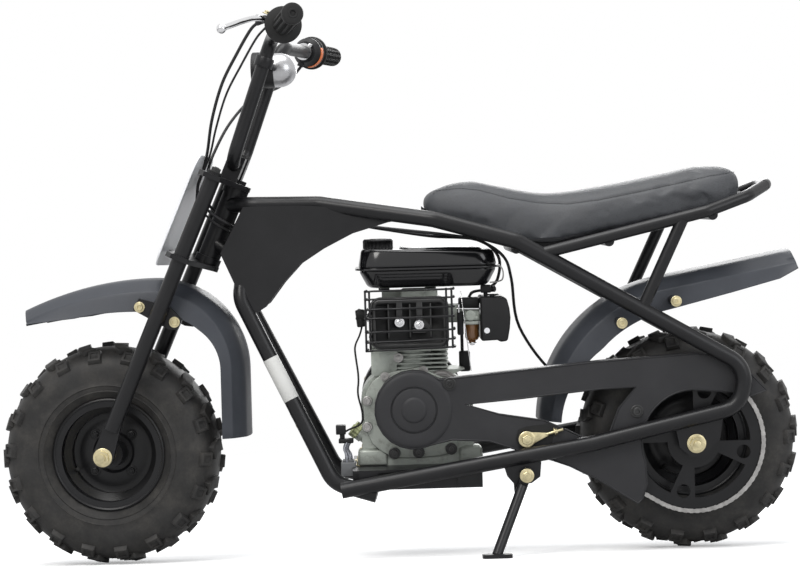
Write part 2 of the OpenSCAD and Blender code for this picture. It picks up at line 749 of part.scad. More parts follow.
// Engine
engine_half = 46;
case_outline = concat([[crank_x - 110, plate_top], [crank_x + 92, plate_top],
    [crank_x + 92, plate_top + 14], [crank_x + 84, plate_top + 16],
    [crank_x + 84, crank_h - 20]], arc([crank_x + 36, 74], 48, 0, 90, 8),
    [ [crank_x - 84, 122]], arc([crank_x - 44, crank_h], 52, 110, 180, 6),
    [[crank_x - 96, plate_top + 16], [crank_x - 110, plate_top + 14]]);
module crankcase() {
    color(cast_metal) leaned() difference() {
        union() {
            side_plate(case_outline, -engine_half, engine_half - 8);
            across(crank_x, crank_h, engine_half - 8, engine_half, 58);
            across(crank_x, crank_h, engine_half, engine_half + 2, 24);
        }
    }
}
fin_n = 8;
fin_pitch = 7;
fin_t = 2.6;
fin_base = 122;
module cylinder_block(x0, x1, y0, y1, h0, h1) {
    translate(at(x0, h0, y0)) cube([x1 - x0, y1 - y0, h1 - h0]);
}
module engine_cylinder() {
    color(cast_metal) leaned() {
        translate(at(-18, fin_base, -4)) cylinder(r = 36, h = fin_n * fin_pitch + 1);
        for (i = [0:fin_n - 1])
            cylinder_block(-80, 44, -46, 38, fin_base + 3 + i * fin_pitch,
                fin_base + 3 + i * fin_pitch + fin_t);
        cylinder_block(-72, 36, -42, 14, fin_base + fin_n * fin_pitch,
            fin_base + fin_n * fin_pitch + 52);
        cylinder_block(-60, 24, -38, 8, fin_base + fin_n * fin_pitch + 52,
            fin_base + fin_n * fin_pitch + 72);
    }
}
recoil_r = 84;
module recoil_housing() {
    color(rubber_black) leaned() {
        across(crank_x, crank_h + 6, -118, -engine_half - 0.2, recoil_r);
        across(crank_x, crank_h + 6, -136, -118, recoil_r - 16);
        cylinder_block(crank_x - 60, crank_x + 60, -100, -engine_half - 0.2,
            crank_h + 40, 236);
    }
}
tank_x0 = -163;
tank_x1 = 61;
tank_h0 = 256;
tank_h1 = 319;
tank_y0 = -84;
tank_y1 = 62;
module fuel_tank() {
    color(rubber_black) leaned() {
        intersection() {
            side_plate(round_box([tank_x0, tank_h0], [tank_x1, tank_h1], 22), tank_y0, tank_y1);
            translate([0, 0, axle_z + tank_h0]) linear_extrude(tank_h1 - tank_h0)
                polygon(round_box([tank_x0, tank_y0], [tank_x1, tank_y1], 34));
            translate([tank_x0, 0, axle_z]) rotate([90, 0, 90])
                linear_extrude(tank_x1 - tank_x0)
                    polygon(round_box([tank_y0, tank_h0], [tank_y1, tank_h1], 20));
        }
        translate([0, 0, axle_z + 285]) linear_extrude(4)
            polygon(round_box([tank_x0 - 5, tank_y0 - 5], [tank_x1 + 5, tank_y1 + 5], 38));
        // Feet on the cylinder head
        for (x = [-56, 20]) cylinder_block(x - 9, x + 9, -36, -18,
            fin_base + fin_n * fin_pitch + 72, tank_h0 + 2);
    }
}
module tank_cap() {
    color(rubber_black) leaned() {
        translate(at(28, tank_h1, -10)) cylinder(r = 25, h = 5);
        translate(at(28, tank_h1 + 5, -10)) cylinder(r = 22, h = 12);
    }
}
muffler_x0 = -78;
muffler_x1 = 43;
muffler_h0 = 161;
muffler_h1 = 239;
muffler_y0 = 38.5;
muffler_y1 = 84;
module muffler() {
    color([0.25, 0.23, 0.22]) leaned() {
        side_plate(round_box([muffler_x0, muffler_h0], [muffler_x1, muffler_h1], 22),
            muffler_y0, muffler_y1 - 6);
        side_plate(round_box([muffler_x0 + 5, muffler_h0 + 5],
            [muffler_x1 - 5, muffler_h1 - 5], 18), muffler_y1 - 6, muffler_y1);
        cylinder_block(-40, 10, 14, muffler_y0, fin_base + fin_n * fin_pitch + 8,
            fin_base + fin_n * fin_pitch + 40);
    }
}
// Wire guard round the muffler
wire_r = 2.2;
wire_y = muffler_y1 + 8;
wire_heights = [253, 240, 225, 210, 188, 175, 160];
module muffler_guard() {
    color(steel) leaned() {
        for (h = wire_heights) {
            translate(at(muffler_x0 - 12, h, wire_y)) rotate([0, 90, 0])
                cylinder(r = wire_r, h = muffler_x1 - muffler_x0 + 20);
            for (x = [muffler_x0 - 12, muffler_x1 + 8])
                translate(at(x - wire_r, h - wire_r - 0.2, 48))
                    cube([2 * wire_r, wire_y + wire_r + 0.2 - 48, 2 * wire_r + 0.4]);
        }
        for (x = [muffler_x1 - 18, muffler_x0 + 14]) {
            translate(at(x, wire_heights[len(wire_heights) - 1] - 3, wire_y - wire_r - 1.2))
                cube([4, 2.4, wire_heights[0] - wire_heights[len(wire_heights) - 1] + 6]);
            for (h = [180, 218])
                translate(at(x - 2, h - 4, muffler_y1)) cube([8, wire_y - muffler_y1 - wire_r, 8]);
        }
    }
}
module carburettor() {
    color(cast_metal) leaned() {
        cylinder_block(-134, -72, -20, 12, 200, 230);
        across(-116, 214, 12, 34, 11);
        translate(at(-118, 162, 8)) cylinder(r = 16, h = 38);
    }
}
filter_outline = [[-134, 164], [-134, 238], [-170, 236], [-184, 222], [-182, 204],
    [-170, 192], [-170, 176], [-160, 163]];
module air_filter() {
    color(rubber_black) leaned() {
        side_plate(filter_outline, -50, 44);
        side_plate(inset(reversed(filter_outline), 6), 44, 50);
    }
}
module oil_filler() {
    color(zinc) leaned() difference() {
        union() {
            rod(at(52, 7, 20), at(84, 30, 20), 10);
            rod(at(84, 30, 20), at(94, 37, 20), 14);
        }
        side_plate(case_outline, -engine_half, engine_half - 8);
    }
}

// Rear wheel hardware on the right side
disc_y = -86;
module brake_disc() {
    color(steel) leaned() difference() {
        across(rear_x, 0, disc_y - 1.5, disc_y + 1.5, 74);
        across(rear_x, 0, disc_y - 5, disc_y + 5, carrier_r);
        for (a = [0:45:315]) rotate_about_axle(a)
            across(rear_x + 56, 0, disc_y - 5, disc_y + 5, 8);
    }
}
module brake_caliper() {
    color(cast_metal) leaned() difference() {
        side_plate(round_box([rear_x + 44, 18], [rear_x + 96, 66], 10), disc_y - 14,
            disc_y + 14);
        across(rear_x, 0, disc_y - 6, disc_y + 6, 80);
        rail_solid();
    }
}

// Fork
module leg_holes() {
    for (s = [-1, 1]) translate([leg_x, s * leg_y]) circle(r = leg_r);
}
module crown_shape(boss) {
    difference() {
        union() {
            circle(r = boss);
            polygon([[-boss * 0.8, boss * 0.6], [leg_x - 14, leg_y + 16],
                [leg_x + 14, leg_y + 18], [leg_x + 24, leg_y + 4],
                [leg_x + 24, -leg_y - 4], [leg_x + 14, -leg_y - 18],
                [leg_x - 14, -leg_y - 16], [-boss * 0.8, -boss * 0.6]]);
        }
        leg_holes();
    }
}
module fork_legs() {
    color(frame_black) leaned() steered() difference() {
        for (s = [-1, 1]) {
            translate([leg_x, s * leg_y, 44])
                cylinder(r = leg_r, h = upper_crown_at + crown_t / 2 + 4 - 44);
            translate([0, s * leg_y + 5, 0]) rotate([90, 0, 0]) linear_extrude(10) {
                translate([axle_x, 0]) circle(r = 17);
                polygon([[axle_x - 17, 0], [axle_x + 17, 0], [leg_x + 13, 50],
                    [leg_x + 11, 66], [leg_x - 11, 66], [leg_x - 13, 50]]);
            }
        }
        translate([axle_x, -200, 0]) rotate([-90, 0, 0]) cylinder(r = axle_r, h = 400);
    }
}
module upper_crown() {
    color(frame_black) leaned() steered() {
        translate([0, 0, upper_crown_at - crown_t / 2]) linear_extrude(crown_t)
            difference() {
                crown_shape(22);
                circle(r = stem_r);
            }
        // Handlebar clamps
        for (s = [-1, 1]) difference() {
            translate([clamp_x - 14, s * 21 - 9, upper_crown_at + crown_t / 2])
                cube([28, 18, clamp_at - upper_crown_at - crown_t / 2 + 15]);
            translate([clamp_x, s * 21 - 20, clamp_at]) rotate([-90, 0, 0])
                cylinder(r = bar_r, h = 40);
        }
    }
}
module lower_crown() {
    color(frame_black) leaned() steered() {
        translate([0, 0, lower_crown_at - crown_t / 2]) linear_extrude(crown_t)
            crown_shape(22);
        translate([0, 0, lower_crown_at]) cylinder(r = stem_r,
            h = upper_crown_at - lower_crown_at + crown_t / 2 + 4);
        translate([0, 0, upper_crown_at + crown_t / 2]) cylinder(r = 12, h = 6, $fn = 6);
    }
}
// Handlebar: centre section, risers and arms, in the fork's own frame
clamp_x = 14;
clamp_at = upper_crown_at + 30;
riser_top = [clamp_x + 14, riser_y + 4, 714];
bar_end = [-26, bar_end_y, 746];
bar_points = [[clamp_x, 0, clamp_at], [clamp_x, riser_y - 2, clamp_at], riser_top, bar_end];
module bar_solid() {
    both_sides() bent_tube(bar_points, bar_r, 30);
}
module handlebar() {
    color(frame_black) leaned() steered() bar_solid();
}
// Point on the left arm of the bar, at a distance from its end
function on_bar(s, side = 1) = let (d = unit(bar_end - riser_top), p = bar_end - d * s)
    [p[0], side * p[1], p[2]];
// Turned piece on an arm of the bar, with its axis from the bar's end inwards
module on_arm(side) {
    d = on_bar(1, side) - on_bar(0, side);
    translate(on_bar(0, side)) rotate([0, acos(d[2]), atan2(d[1], d[0])])
        rotate_extrude() children();
}
// Outline of a sleeve around the bar
module sleeve(s0, s1, r) {
    polygon([[bar_r, s0], [r, s0], [r, s1], [bar_r, s1]]);
}
grip_r = grip_d / 2;
module grips() {
    color(rubber_black) leaned() steered() for (side = [-1, 1])
        on_arm(side) polygon([[0, -5], [grip_r - 2, -5], [grip_r - 2, 3], [grip_r, 4],
            [grip_r, grip_l], [grip_r + 12, grip_l], [grip_r + 12, grip_l + 6],
            [bar_r, grip_l + 6], [bar_r, 0], [0, 0]]);
}
module throttle() {
    color(rubber_black) leaned() steered() on_arm(-1) sleeve(grip_l + 6.5, grip_l + 38, 21);
}
// Brake lever and its perch on the left arm
perch = on_bar(grip_l + 24);
lever_r = 4.5;
lever_points = [perch + [22, -2, 6], perch + [46, 20, -2], perch + [52, 90, -4],
    perch + [58, 128, -4]];
module brake_lever() {
    color(steel) leaned() steered() {
        on_arm(1) sleeve(grip_l + 12, grip_l + 36, 17);
        translate(perch + [13, -9, -3]) cube([17, 16, 16]);
        for (i = [0:len(lever_points) - 2])
            rod(lever_points[i], lever_points[i + 1], lever_r);
        for (i = [1:len(lever_points) - 1])
            translate(lever_points[i]) sphere(r = lever_r + 0.9);
    }
}
lamp_x = 30;
lamp_at = 676;
lamp_r = 30;
// Outline of the lamp: a domed back, a barrel and a hollow for the lens
lamp_profile = concat([for (p = arc([0, 0], lamp_r, -90, 0, 8)) [max(0, p[0]), p[1]]],
    [[lamp_r, 22], [lamp_r + 2, 24], [lamp_r + 2, 46], [lamp_r - 2, 48], [lamp_r - 4, 40],
     [0, 40]]);
// Place of the riser at the lamp's height
function on_riser(z) = let (a = bar_points[1], b = riser_top, k = (z - a[2]) / (b[2] - a[2]))
    a + (b - a) * k;
module headlamp() {
    color(steel) leaned() steered() difference() {
        union() {
            translate([lamp_x - 30, 0, lamp_at]) rotate([0, 90, 0])
                rotate_extrude() polygon(lamp_profile);
            both_sides() rod([lamp_x, lamp_r - 4, lamp_at],
                [on_riser(lamp_at)[0], on_riser(lamp_at)[1] - bar_r + 2, lamp_at], 6);
            both_sides() rod(on_riser(lamp_at - 9), on_riser(lamp_at + 9), bar_r + 4);
        }
        bar_solid();
    }
}
plate_x = 63;
module number_plate() {
    color([0.9, 0.9, 0.88]) leaned() steered() {
        translate([plate_x, 0, 0]) rotate([90, 0, 90]) linear_extrude(2)
            polygon(round_box([-84, 312], [84, 502], 26));
        for (z = [upper_crown_at, lower_crown_at])
            translate([leg_x + 24, -14, z - 2]) cube([plate_x - leg_x - 24, 28, 4]);
    }
}
module front_axle() {
    color(zinc) leaned() steered() translate([axle_x, 0, 0]) rotate([-90, 0, 0]) {
        translate([0, 0, -leg_y - 20]) cylinder(r = axle_r, h = 2 * leg_y + 40);
        for (s = [-1, 1]) {
            translate([0, 0, s > 0 ? hub_half + face_gap : -leg_y + 5])
                cylinder(r = spacer_r, h = leg_y - 5 - hub_half - face_gap);
            translate([0, 0, s > 0 ? leg_y + 5 : -leg_y - 15])
                cylinder(r = nut_r, h = 10, $fn = 6);
        }
    }
}

// Wheels, built around the Y axis at the origin
bead_r = rim_r - 9;
rim_half = rim_w / 2;
tyre_wall = 9;
side_relief = 5.6;
tyre_inside = concat([[rim_half - 5 - tyre_wall, bead_r], [rim_half - 1 - tyre_wall, rim_r + 8],
    [tyre_half - 7 - tyre_wall, tyre_mid_r - 16]],
    [for (i = [0:crown_steps]) wall_at(90 * i / crown_steps, lug_h + tyre_wall, side_relief + tyre_wall)]);
// Half outline mirrored to the other side, as points for a turned shape
function both_edges(p) = concat([for (q = p) [q[1], q[0]]],
    [for (i = [len(p) - 2:-1:0]) [p[i][1], -p[i][0]]]);
// Point of the tyre's outline at an angle from the axle's direction, lowered by d, narrowed by e
function wall_at(a, d, e = side_relief) = [(tyre_half - e) * pow(cos(a), 2 / tyre_power),
    tyre_mid_r + (tyre_rise - d) * pow(sin(a), 2 / tyre_power)];
carcass_outer = [for (i = [0:crown_steps]) wall_at(90 * i / crown_steps, lug_h)];
carcass_ring = concat([[rim_half - 4.4, bead_r], [rim_half - 3.4, rim_r + 0.3],
    [rim_half + 2, rim_r + 4], [carcass_outer[0][0] - 4, tyre_mid_r - 18]], carcass_outer);
module carcass() {
    rotate([90, 0, 0]) rotate_extrude($fn = 96)
        polygon(concat(both_edges(carcass_ring), reversed(both_edges(tyre_inside))));
}
// Block of the tread: length around the tyre, width across it, place on the outline
module lug(turn, a, side, l, w, skew) {
    p = wall_at(a, lug_h);
    n = unit(wall_at(a + 1, lug_h) - wall_at(a - 1, lug_h));
    tilt = side * atan2(-n[1], -n[0]);
    rotate([0, turn, 0]) translate([0, side * p[0], p[1]])
        rotate([side > 0 ? -(90 - lug_tilt(n)) : 90 - lug_tilt(n), 0, 0]) rotate([0, 0, skew])
            translate([-l / 2, -w / 2, -3]) cube([l, w, lug_h + 3 - lug_sink]);
}
// Angle between the outward normal of the outline and the axle's direction
function lug_tilt(d) = atan2(abs(d[0]), abs(d[1]));
lug_sink = 1.4;
module tyre() {
    step = 360 / lug_n;
    carcass();
    for (i = [0:lug_n - 1], s = [0, 1]) {
        lug((i + s / 2) * step, 28, s * 2 - 1, 22, 24, 0);
        lug((i + 0.25 + s / 2) * step, 66, s * 2 - 1, 20, 32, (s * 2 - 1) * 20);
    }
}
rim_profile = [[rim_r, rim_half], [rim_r, rim_half - 3], [bead_r - 0.2, rim_half - 4],
    [bead_r - 0.2, rim_half - 22], [bead_r - 12, rim_half - 30],
    [bead_r - 12, -rim_half + 30], [bead_r - 0.2, -rim_half + 22],
    [bead_r - 0.2, -rim_half + 4], [rim_r, -rim_half + 3], [rim_r, -rim_half],
    [bead_r - 3.5, -rim_half + 1], [bead_r - 3.5, -rim_half + 21],
    [bead_r - 15, -rim_half + 29], [bead_r - 15, rim_half - 29],
    [bead_r - 3.5, rim_half - 21], [bead_r - 3.5, rim_half - 1]];
module rim() {
    rotate([90, 0, 0]) difference() {
        union() {
            rotate_extrude($fn = 96) polygon(rim_profile);
            translate([0, 0, -hub_half]) cylinder(r = 22, h = 2 * hub_half);
            translate([0, 0, -4]) cylinder(r = bead_r - 14, h = 8);
        }
        translate([0, 0, -hub_half - 1]) cylinder(r = axle_r + slip, h = 2 * hub_half + 2);
        for (a = [0:60:300]) rotate([0, 0, a]) translate([42, 0, -10])
            cylinder(r = 11, h = 20);
    }
}
module at_front() {
    leaned() steered() translate([axle_x, 0, 0]) children();
}
module at_rear() {
    leaned() translate(at(rear_x, 0)) children();
}
module front_tyre() {
    color(rubber_black) at_front() rotate([0, rake, 0]) tyre();
}
module front_rim() {
    color(frame_black) at_front() rim();
}
module rear_tyre() {
    color(rubber_black) at_rear() tyre();
}
// Rear rim with the carriers of the sprocket and the brake disc on its hub
carrier_r = 23;
module rear_rim() {
    color(frame_black) {
        at_rear() rim();
        at_rear() rotate([90, 0, 0]) difference() {
            union() {
                translate([0, 0, hub_half - 1]) cylinder(r = carrier_r, h = 90 - hub_half);
                translate([0, 0, -90 + 1]) cylinder(r = carrier_r, h = 90 - hub_half);
            }
            translate([0, 0, -100]) cylinder(r = spacer_r + 1, h = 200);
        }
    }
}

// Cables: a tube swept along points chosen by hand
function ring_at(p, i, r, sides) = let (last = len(p) - 1,
    d = unit(p[min(i + 1, last)] - p[max(i - 1, 0)]),
    u = unit(cross(d, abs(d[1]) < 0.9 ? [0, 1, 0] : [1, 0, 0])), v = cross(d, u))
    [for (k = [0:sides - 1]) let (a = 360 * k / sides) p[i] + r * (cos(a) * u + sin(a) * v)];
module cable(p, r = 2.5, sides = 8) {
    skin([for (i = [0:len(p) - 1]) ring_at(p, i, r, sides)]);
}
// Brake cable from the lever to the back of the upper crown, in the fork's own frame
lever_cable = [lever_points[0] + [6, -14, 8], perch + [34, -40, -10], perch + [38, -84, -50],
    [44, 44, 640], [40, 34, 600], [30, 36, 560], [4, 42, 532], [-18, 30, 514], [-18, 14, 500],
    [-18, 9, 481.3]];
// Throttle cable from the housing on the right arm
throttle_cable = [on_bar(grip_l + 30, -1) + [0, 0, -23.6], on_bar(grip_l + 62, -1) + [-14, 6, -40],
    [4, -64, 680], [0, -58, 620], [-8, -46, 560], [-18, -30, 520], [-18, -14, 502],
    [-18, -9, 481.3]];
module fork_cables() {
    color(rubber_black) leaned() steered() {
        cable(lever_cable);
        cable(throttle_cable);
    }
}
// The same cables along the frame: to the brake caliper and to the carburettor
brake_run = [head_point(-17.9, 6, 452), head_point(-34, 14, 446), at(180, 372, 20),
    at(100, 366, 22), at(0, 352, 22), at(-100, 338, 20), at(-140, 330, 12), at(-176, 300, 0),
    at(-190, 262, -40), at(-200, 180, -84), at(-260, 100, -92), at(-330, 62, -92),
    at(rear_x + 98, 50, disc_y)];
throttle_run = [head_point(-17.9, -6, 452), head_point(-34, -14, 446), at(180, 372, -20),
    at(100, 366, -22), at(20, 352, -28), at(-60, 338, -40), at(-135, 330, -50),
    at(-174, 306, -60), at(-172, 262, -60), at(-150, 247, -50), at(-124, 246, -30),
    at(-116, 240, -13), at(-116, 230.3, -12)];
module frame_cables() {
    color(rubber_black) leaned() {
        cable(brake_run);
        cable(throttle_run);
    }
}

head_tube();
upper_tubes();
rear_bends();
lower_rails();
down_tubes();
seat_rail();
seat_struts();
side_panels();
engine_plate();
axle_plates();
rear_axle();
stand_bracket();
seat_base();
seat();
rear_fender();
fender_stays();
chain_guard();
chain();
clutch();
chain_tensioner();
crankcase();
engine_cylinder();
recoil_housing();
fuel_tank();
tank_cap();
muffler();
muffler_guard();
carburettor();
air_filter();
oil_filler();
brake_caliper();
frame_cables();
fork_legs();
upper_crown();
lower_crown();
handlebar();
grips();
throttle();
brake_lever();
headlamp();
number_plate();
front_fender();
fender_brackets();
front_axle();
fork_cables();
front_tyre();
front_rim();
rear_tyre();
rear_rim();
rear_sprocket();
brake_disc();
kickstand();
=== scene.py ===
# %% [markdown]
# # A small minibike, dressed in Blender
#
# The solids of this minibike come packed, in real sizes and with their joints. This
# script keeps that frame as it is and gives it the looks of the real machine: knobby
# tyres, a chain with its links, a sewn seat, a small open engine and satin black tubes.
# Every new piece is modelled as by hand, with Blender's own operators, and then bound to
# the body that carries it, so that it steers or rolls with the frame.

import bmesh
import bpy
from math import acos, atan2, cos, degrees, hypot, pi, radians, sin, sqrt
from mathutils import Matrix, Vector
from mathutils.bvhtree import BVHTree


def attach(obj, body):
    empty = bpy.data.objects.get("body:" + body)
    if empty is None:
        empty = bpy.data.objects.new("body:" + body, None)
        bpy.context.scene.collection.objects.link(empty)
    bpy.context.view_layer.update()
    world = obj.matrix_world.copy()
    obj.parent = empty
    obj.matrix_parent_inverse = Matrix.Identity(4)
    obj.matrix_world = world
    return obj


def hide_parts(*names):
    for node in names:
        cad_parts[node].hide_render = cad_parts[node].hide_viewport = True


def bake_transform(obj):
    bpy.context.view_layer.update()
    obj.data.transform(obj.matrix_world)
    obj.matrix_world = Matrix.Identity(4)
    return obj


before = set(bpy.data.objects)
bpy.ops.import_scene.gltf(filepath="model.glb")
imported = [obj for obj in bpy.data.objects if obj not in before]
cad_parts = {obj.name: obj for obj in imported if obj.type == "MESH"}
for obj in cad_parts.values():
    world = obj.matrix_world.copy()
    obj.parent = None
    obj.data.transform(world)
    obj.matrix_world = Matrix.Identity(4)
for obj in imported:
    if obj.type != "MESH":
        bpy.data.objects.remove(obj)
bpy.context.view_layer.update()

# %% [markdown]
# The machine leans on its side stand, but everybody draws a motorcycle upright. So every
# piece is modelled on the upright machine and tipped over at the end. The matrices below
# carry a point of the upright machine, and of the turned fork, into the frame.

# %% From the upright machine to the frame
MM = 0.001
LEAN, RAKE, STEER = radians(6.5), radians(23.65), radians(-4)
AXLE = 0.180
REACH, SHIFT = 0.18023675, -0.076
FRONT, REAR = 0.466, -0.466
AXLE_X = 0.024
STEER_O = Vector((FRONT - AXLE_X * cos(RAKE), 0, AXLE - AXLE_X * sin(RAKE)))

BIKE = (Matrix.Translation((0, SHIFT, REACH)) @ Matrix.Rotation(-LEAN, 4, "X")
        @ Matrix.Translation((0, 0, -AXLE)))
FORK = (BIKE @ Matrix.Translation(STEER_O) @ Matrix.Rotation(-RAKE, 4, "Y")
        @ Matrix.Rotation(STEER, 4, "Z"))
# A straight fork's pieces, given on the upright machine, turn with the steering
TURNED = FORK @ Matrix.Rotation(RAKE, 4, "Y") @ Matrix.Translation(-STEER_O)
FRONT_HUB = FORK @ Matrix.Translation((AXLE_X, 0, 0))
REAR_HUB = BIKE @ Matrix.Translation((REAR, 0, AXLE))


def at(x, h, y=0.0):
    """Point of the upright machine in metres, from millimetres: x ahead, h above the axles."""
    return Vector((x * MM, y * MM, AXLE + h * MM))


def mm(*values):
    """Millimetres as a vector in metres."""
    return Vector(values) * MM


print("front hub at", [round(v, 4) for v in FRONT_HUB.translation])

# %% [markdown]
# The photograph was taken from the machine's left side, from a few metres away and a
# little above the seat. The camera stands there, square to the machine's own middle
# plane, so it leans with the machine. A long lens keeps both wheels round.

# %% Camera
EYE = Vector((0.02246, 3.350, 0.5777))
FOCAL_PX, PICTURE_W, PICTURE_H = 2061.5, 800, 567
FOOT_PX = (380.0, 200.0)
ROLL = radians(1.6)
camera = bpy.data.objects.new("camera", bpy.data.cameras.new("camera"))
bpy.context.scene.collection.objects.link(camera)
camera.data.sensor_width = 36.0
camera.data.lens = FOCAL_PX / PICTURE_W * camera.data.sensor_width
camera.data.clip_end = 60
# Without turning, the camera looks along the machine's -Y with +X to the left
square_on = Matrix(((-1, 0, 0), (0, 0, 1), (0, 1, 0))).to_4x4()
yaw = atan2(FOOT_PX[0] - PICTURE_W / 2, FOCAL_PX)
pitch = atan2(FOOT_PX[1] - PICTURE_H / 2, FOCAL_PX)
camera.matrix_world = (BIKE @ Matrix.Translation(EYE) @ square_on
                       @ Matrix.Rotation(-ROLL, 4, "Z")
                       @ Matrix.Rotation(yaw, 4, "Y") @ Matrix.Rotation(pitch, 4, "X"))
bpy.context.scene.camera = camera
print("lens", round(camera.data.lens, 1), "mm, camera at",
      [round(v, 2) for v in camera.matrix_world.translation])

# %% [markdown]
# The background of the photograph is plain and pale. A wide floor stands in for it. Its
# colour is strong only for the camera, and dim for the light that it throws back, so
# that it doesn't light the machine from below.

# %% Floor, world and lights
scene = bpy.context.scene
scene.view_settings.view_transform = "Standard"
# Strengths of the world where it is seen, of its light, and of the floor's own glow
BACKDROP, SOFT_LIGHT, FLOOR_GLOW = 1.0, 0.5, 0.33
LAMP_AIM = Vector((0, 0, 0.4))


class Socket:
    """Output of a shader node that can be used in Python's own arithmetic."""

    def __init__(self, tree, out):
        self.tree, self.out = tree, out

    def _math(self, kind, *values):
        return add(self.tree, "ShaderNodeMath", {"operation": kind}, *values)

    def __add__(self, other):
        return self._math("ADD", self, other)

    def __sub__(self, other):
        return self._math("SUBTRACT", self, other)

    def __rsub__(self, other):
        return self._math("SUBTRACT", other, self)

    def __mul__(self, other):
        return self._math("MULTIPLY", self, other)

    def __truediv__(self, other):
        return self._math("DIVIDE", self, other)

    def __pow__(self, other):
        return self._math("POWER", self, other)

    def __gt__(self, other):
        return self._math("GREATER_THAN", self, other)

    def __lt__(self, other):
        return self._math("LESS_THAN", self, other)

    __radd__, __rmul__ = __add__, __mul__


def add(tree, kind, settings, *values, out=0, **named):
    """Adds a node: settings first, then values or links of its sockets, by place or name."""
    node = tree.nodes.new(kind)
    for name, value in settings.items():
        if name == "stops":
            ramp = node.color_ramp
            while len(ramp.elements) < len(value):
                ramp.elements.new(0.5)
            for stop, (place, shade) in zip(ramp.elements, value):
                stop.position = place
                stop.color = (*shade, 1) if hasattr(shade, "__len__") else (shade,) * 3 + (1,)
        else:
            setattr(node, name, value)
    pairs = list(enumerate(values)) + list(named.items())
    for place, value in pairs:
        key = place.replace("_", " ") if isinstance(place, str) else place
        if isinstance(value, Socket):
            tree.links.new(value.out, node.inputs[key])
        elif value is not None:
            node.inputs[key].default_value = value
    return Socket(tree, node.outputs[out])


world = bpy.data.worlds.new("studio")
scene.world = world
world.use_nodes = True
air = world.node_tree
air.nodes.clear()
rays = air.nodes.new("ShaderNodeLightPath")
seen, mirrored, through = [Socket(air, rays.outputs[f"Is {kind} Ray"])
                           for kind in ("Camera", "Glossy", "Transmission")]
either = add(air, "ShaderNodeMath", {"operation": "MAXIMUM"}, seen, mirrored)
direct = add(air, "ShaderNodeMath", {"operation": "MAXIMUM"}, either, through)
soft_light = add(air, "ShaderNodeBackground", {}, (0.95, 0.97, 1.0, 1), SOFT_LIGHT)
backdrop = add(air, "ShaderNodeBackground", {}, (1, 1, 1, 1), BACKDROP)
sky = add(air, "ShaderNodeMixShader", {}, direct, soft_light, backdrop)
air.links.new(sky.out, air.nodes.new("ShaderNodeOutputWorld").inputs["Surface"])

bpy.ops.mesh.primitive_plane_add(size=40, location=(0, 0, -0.0004))
floor = bpy.context.object
floor.name = "floor"
paper = bpy.data.materials.new("paper")
paper.use_nodes = True
tree = paper.node_tree
tree.nodes.remove(tree.nodes["Principled BSDF"])
path = Socket(tree, tree.nodes.new("ShaderNodeLightPath").outputs["Is Camera Ray"])
sheet = add(tree, "ShaderNodeBsdfDiffuse", {}, (0.92, 0.92, 0.92, 1))
glow = add(tree, "ShaderNodeEmission", {}, (1, 1, 1, 1), FLOOR_GLOW)
lifted = add(tree, "ShaderNodeAddShader", {}, sheet, glow)
dim = add(tree, "ShaderNodeBsdfDiffuse", {}, (0.6, 0.6, 0.6, 1))
paper_mix = add(tree, "ShaderNodeMixShader", {}, path, dim, lifted)
tree.links.new(paper_mix.out, tree.nodes["Material Output"].inputs["Surface"])
floor.data.materials.append(paper)


def lamp(name, place, power, size, colour=(1, 1, 1)):
    """Round lamp, aimed at the middle of the machine."""
    light = bpy.data.lights.new(name, "AREA")
    light.energy, light.shape, light.size, light.color = power, "DISK", size, colour
    o = bpy.data.objects.new(name, light)
    scene.collection.objects.link(o)
    o.location = place
    o.rotation_euler = (LAMP_AIM - Vector(place)).to_track_quat("-Z", "Y").to_euler()


sun = bpy.data.objects.new("daylight", bpy.data.lights.new("daylight", "SUN"))
sun.data.energy, sun.data.angle = 0.9, radians(25)
sun.rotation_euler = (radians(-22), radians(12), 0)
scene.collection.objects.link(sun)
lamp("key", (1.6, 3.2, 2.9), 70, 1.8, (1.0, 0.98, 0.95))
lamp("fill", (-2.8, 2.6, 1.5), 35, 2.4, (0.95, 0.97, 1.0))
lamp("top", (-0.2, 0.2, 3.4), 40, 2.2)
lamp("back", (-0.8, -3.4, 2.0), 45, 2.0)

# %% [markdown]
# ## Finishes
#
# Nothing on a real machine has one flat colour. Powder coat has a fine orange peel,
# moulded plastic a grain, a casting is pitted, and what rolls near the ground carries
# dust. Each finish starts from a base colour, and noise in the piece's own coordinates
# varies its colour, its roughness and its surface. Object coordinates stay with a piece
# when it turns or rolls, because each piece's object moves with its body.

# %% A helper for finishes
def mix(tree, amount, a, b):
    """Colour a where amount is 0 and b where it is 1."""
    node = add(tree, "ShaderNodeMix", {"data_type": "RGBA"}, amount, out=2)
    for place, value in ((6, a), (7, b)):
        if isinstance(value, Socket):
            tree.links.new(value.out, node.out.node.inputs[place])
        else:
            node.out.node.inputs[place].default_value = (*value, 1)
    return node


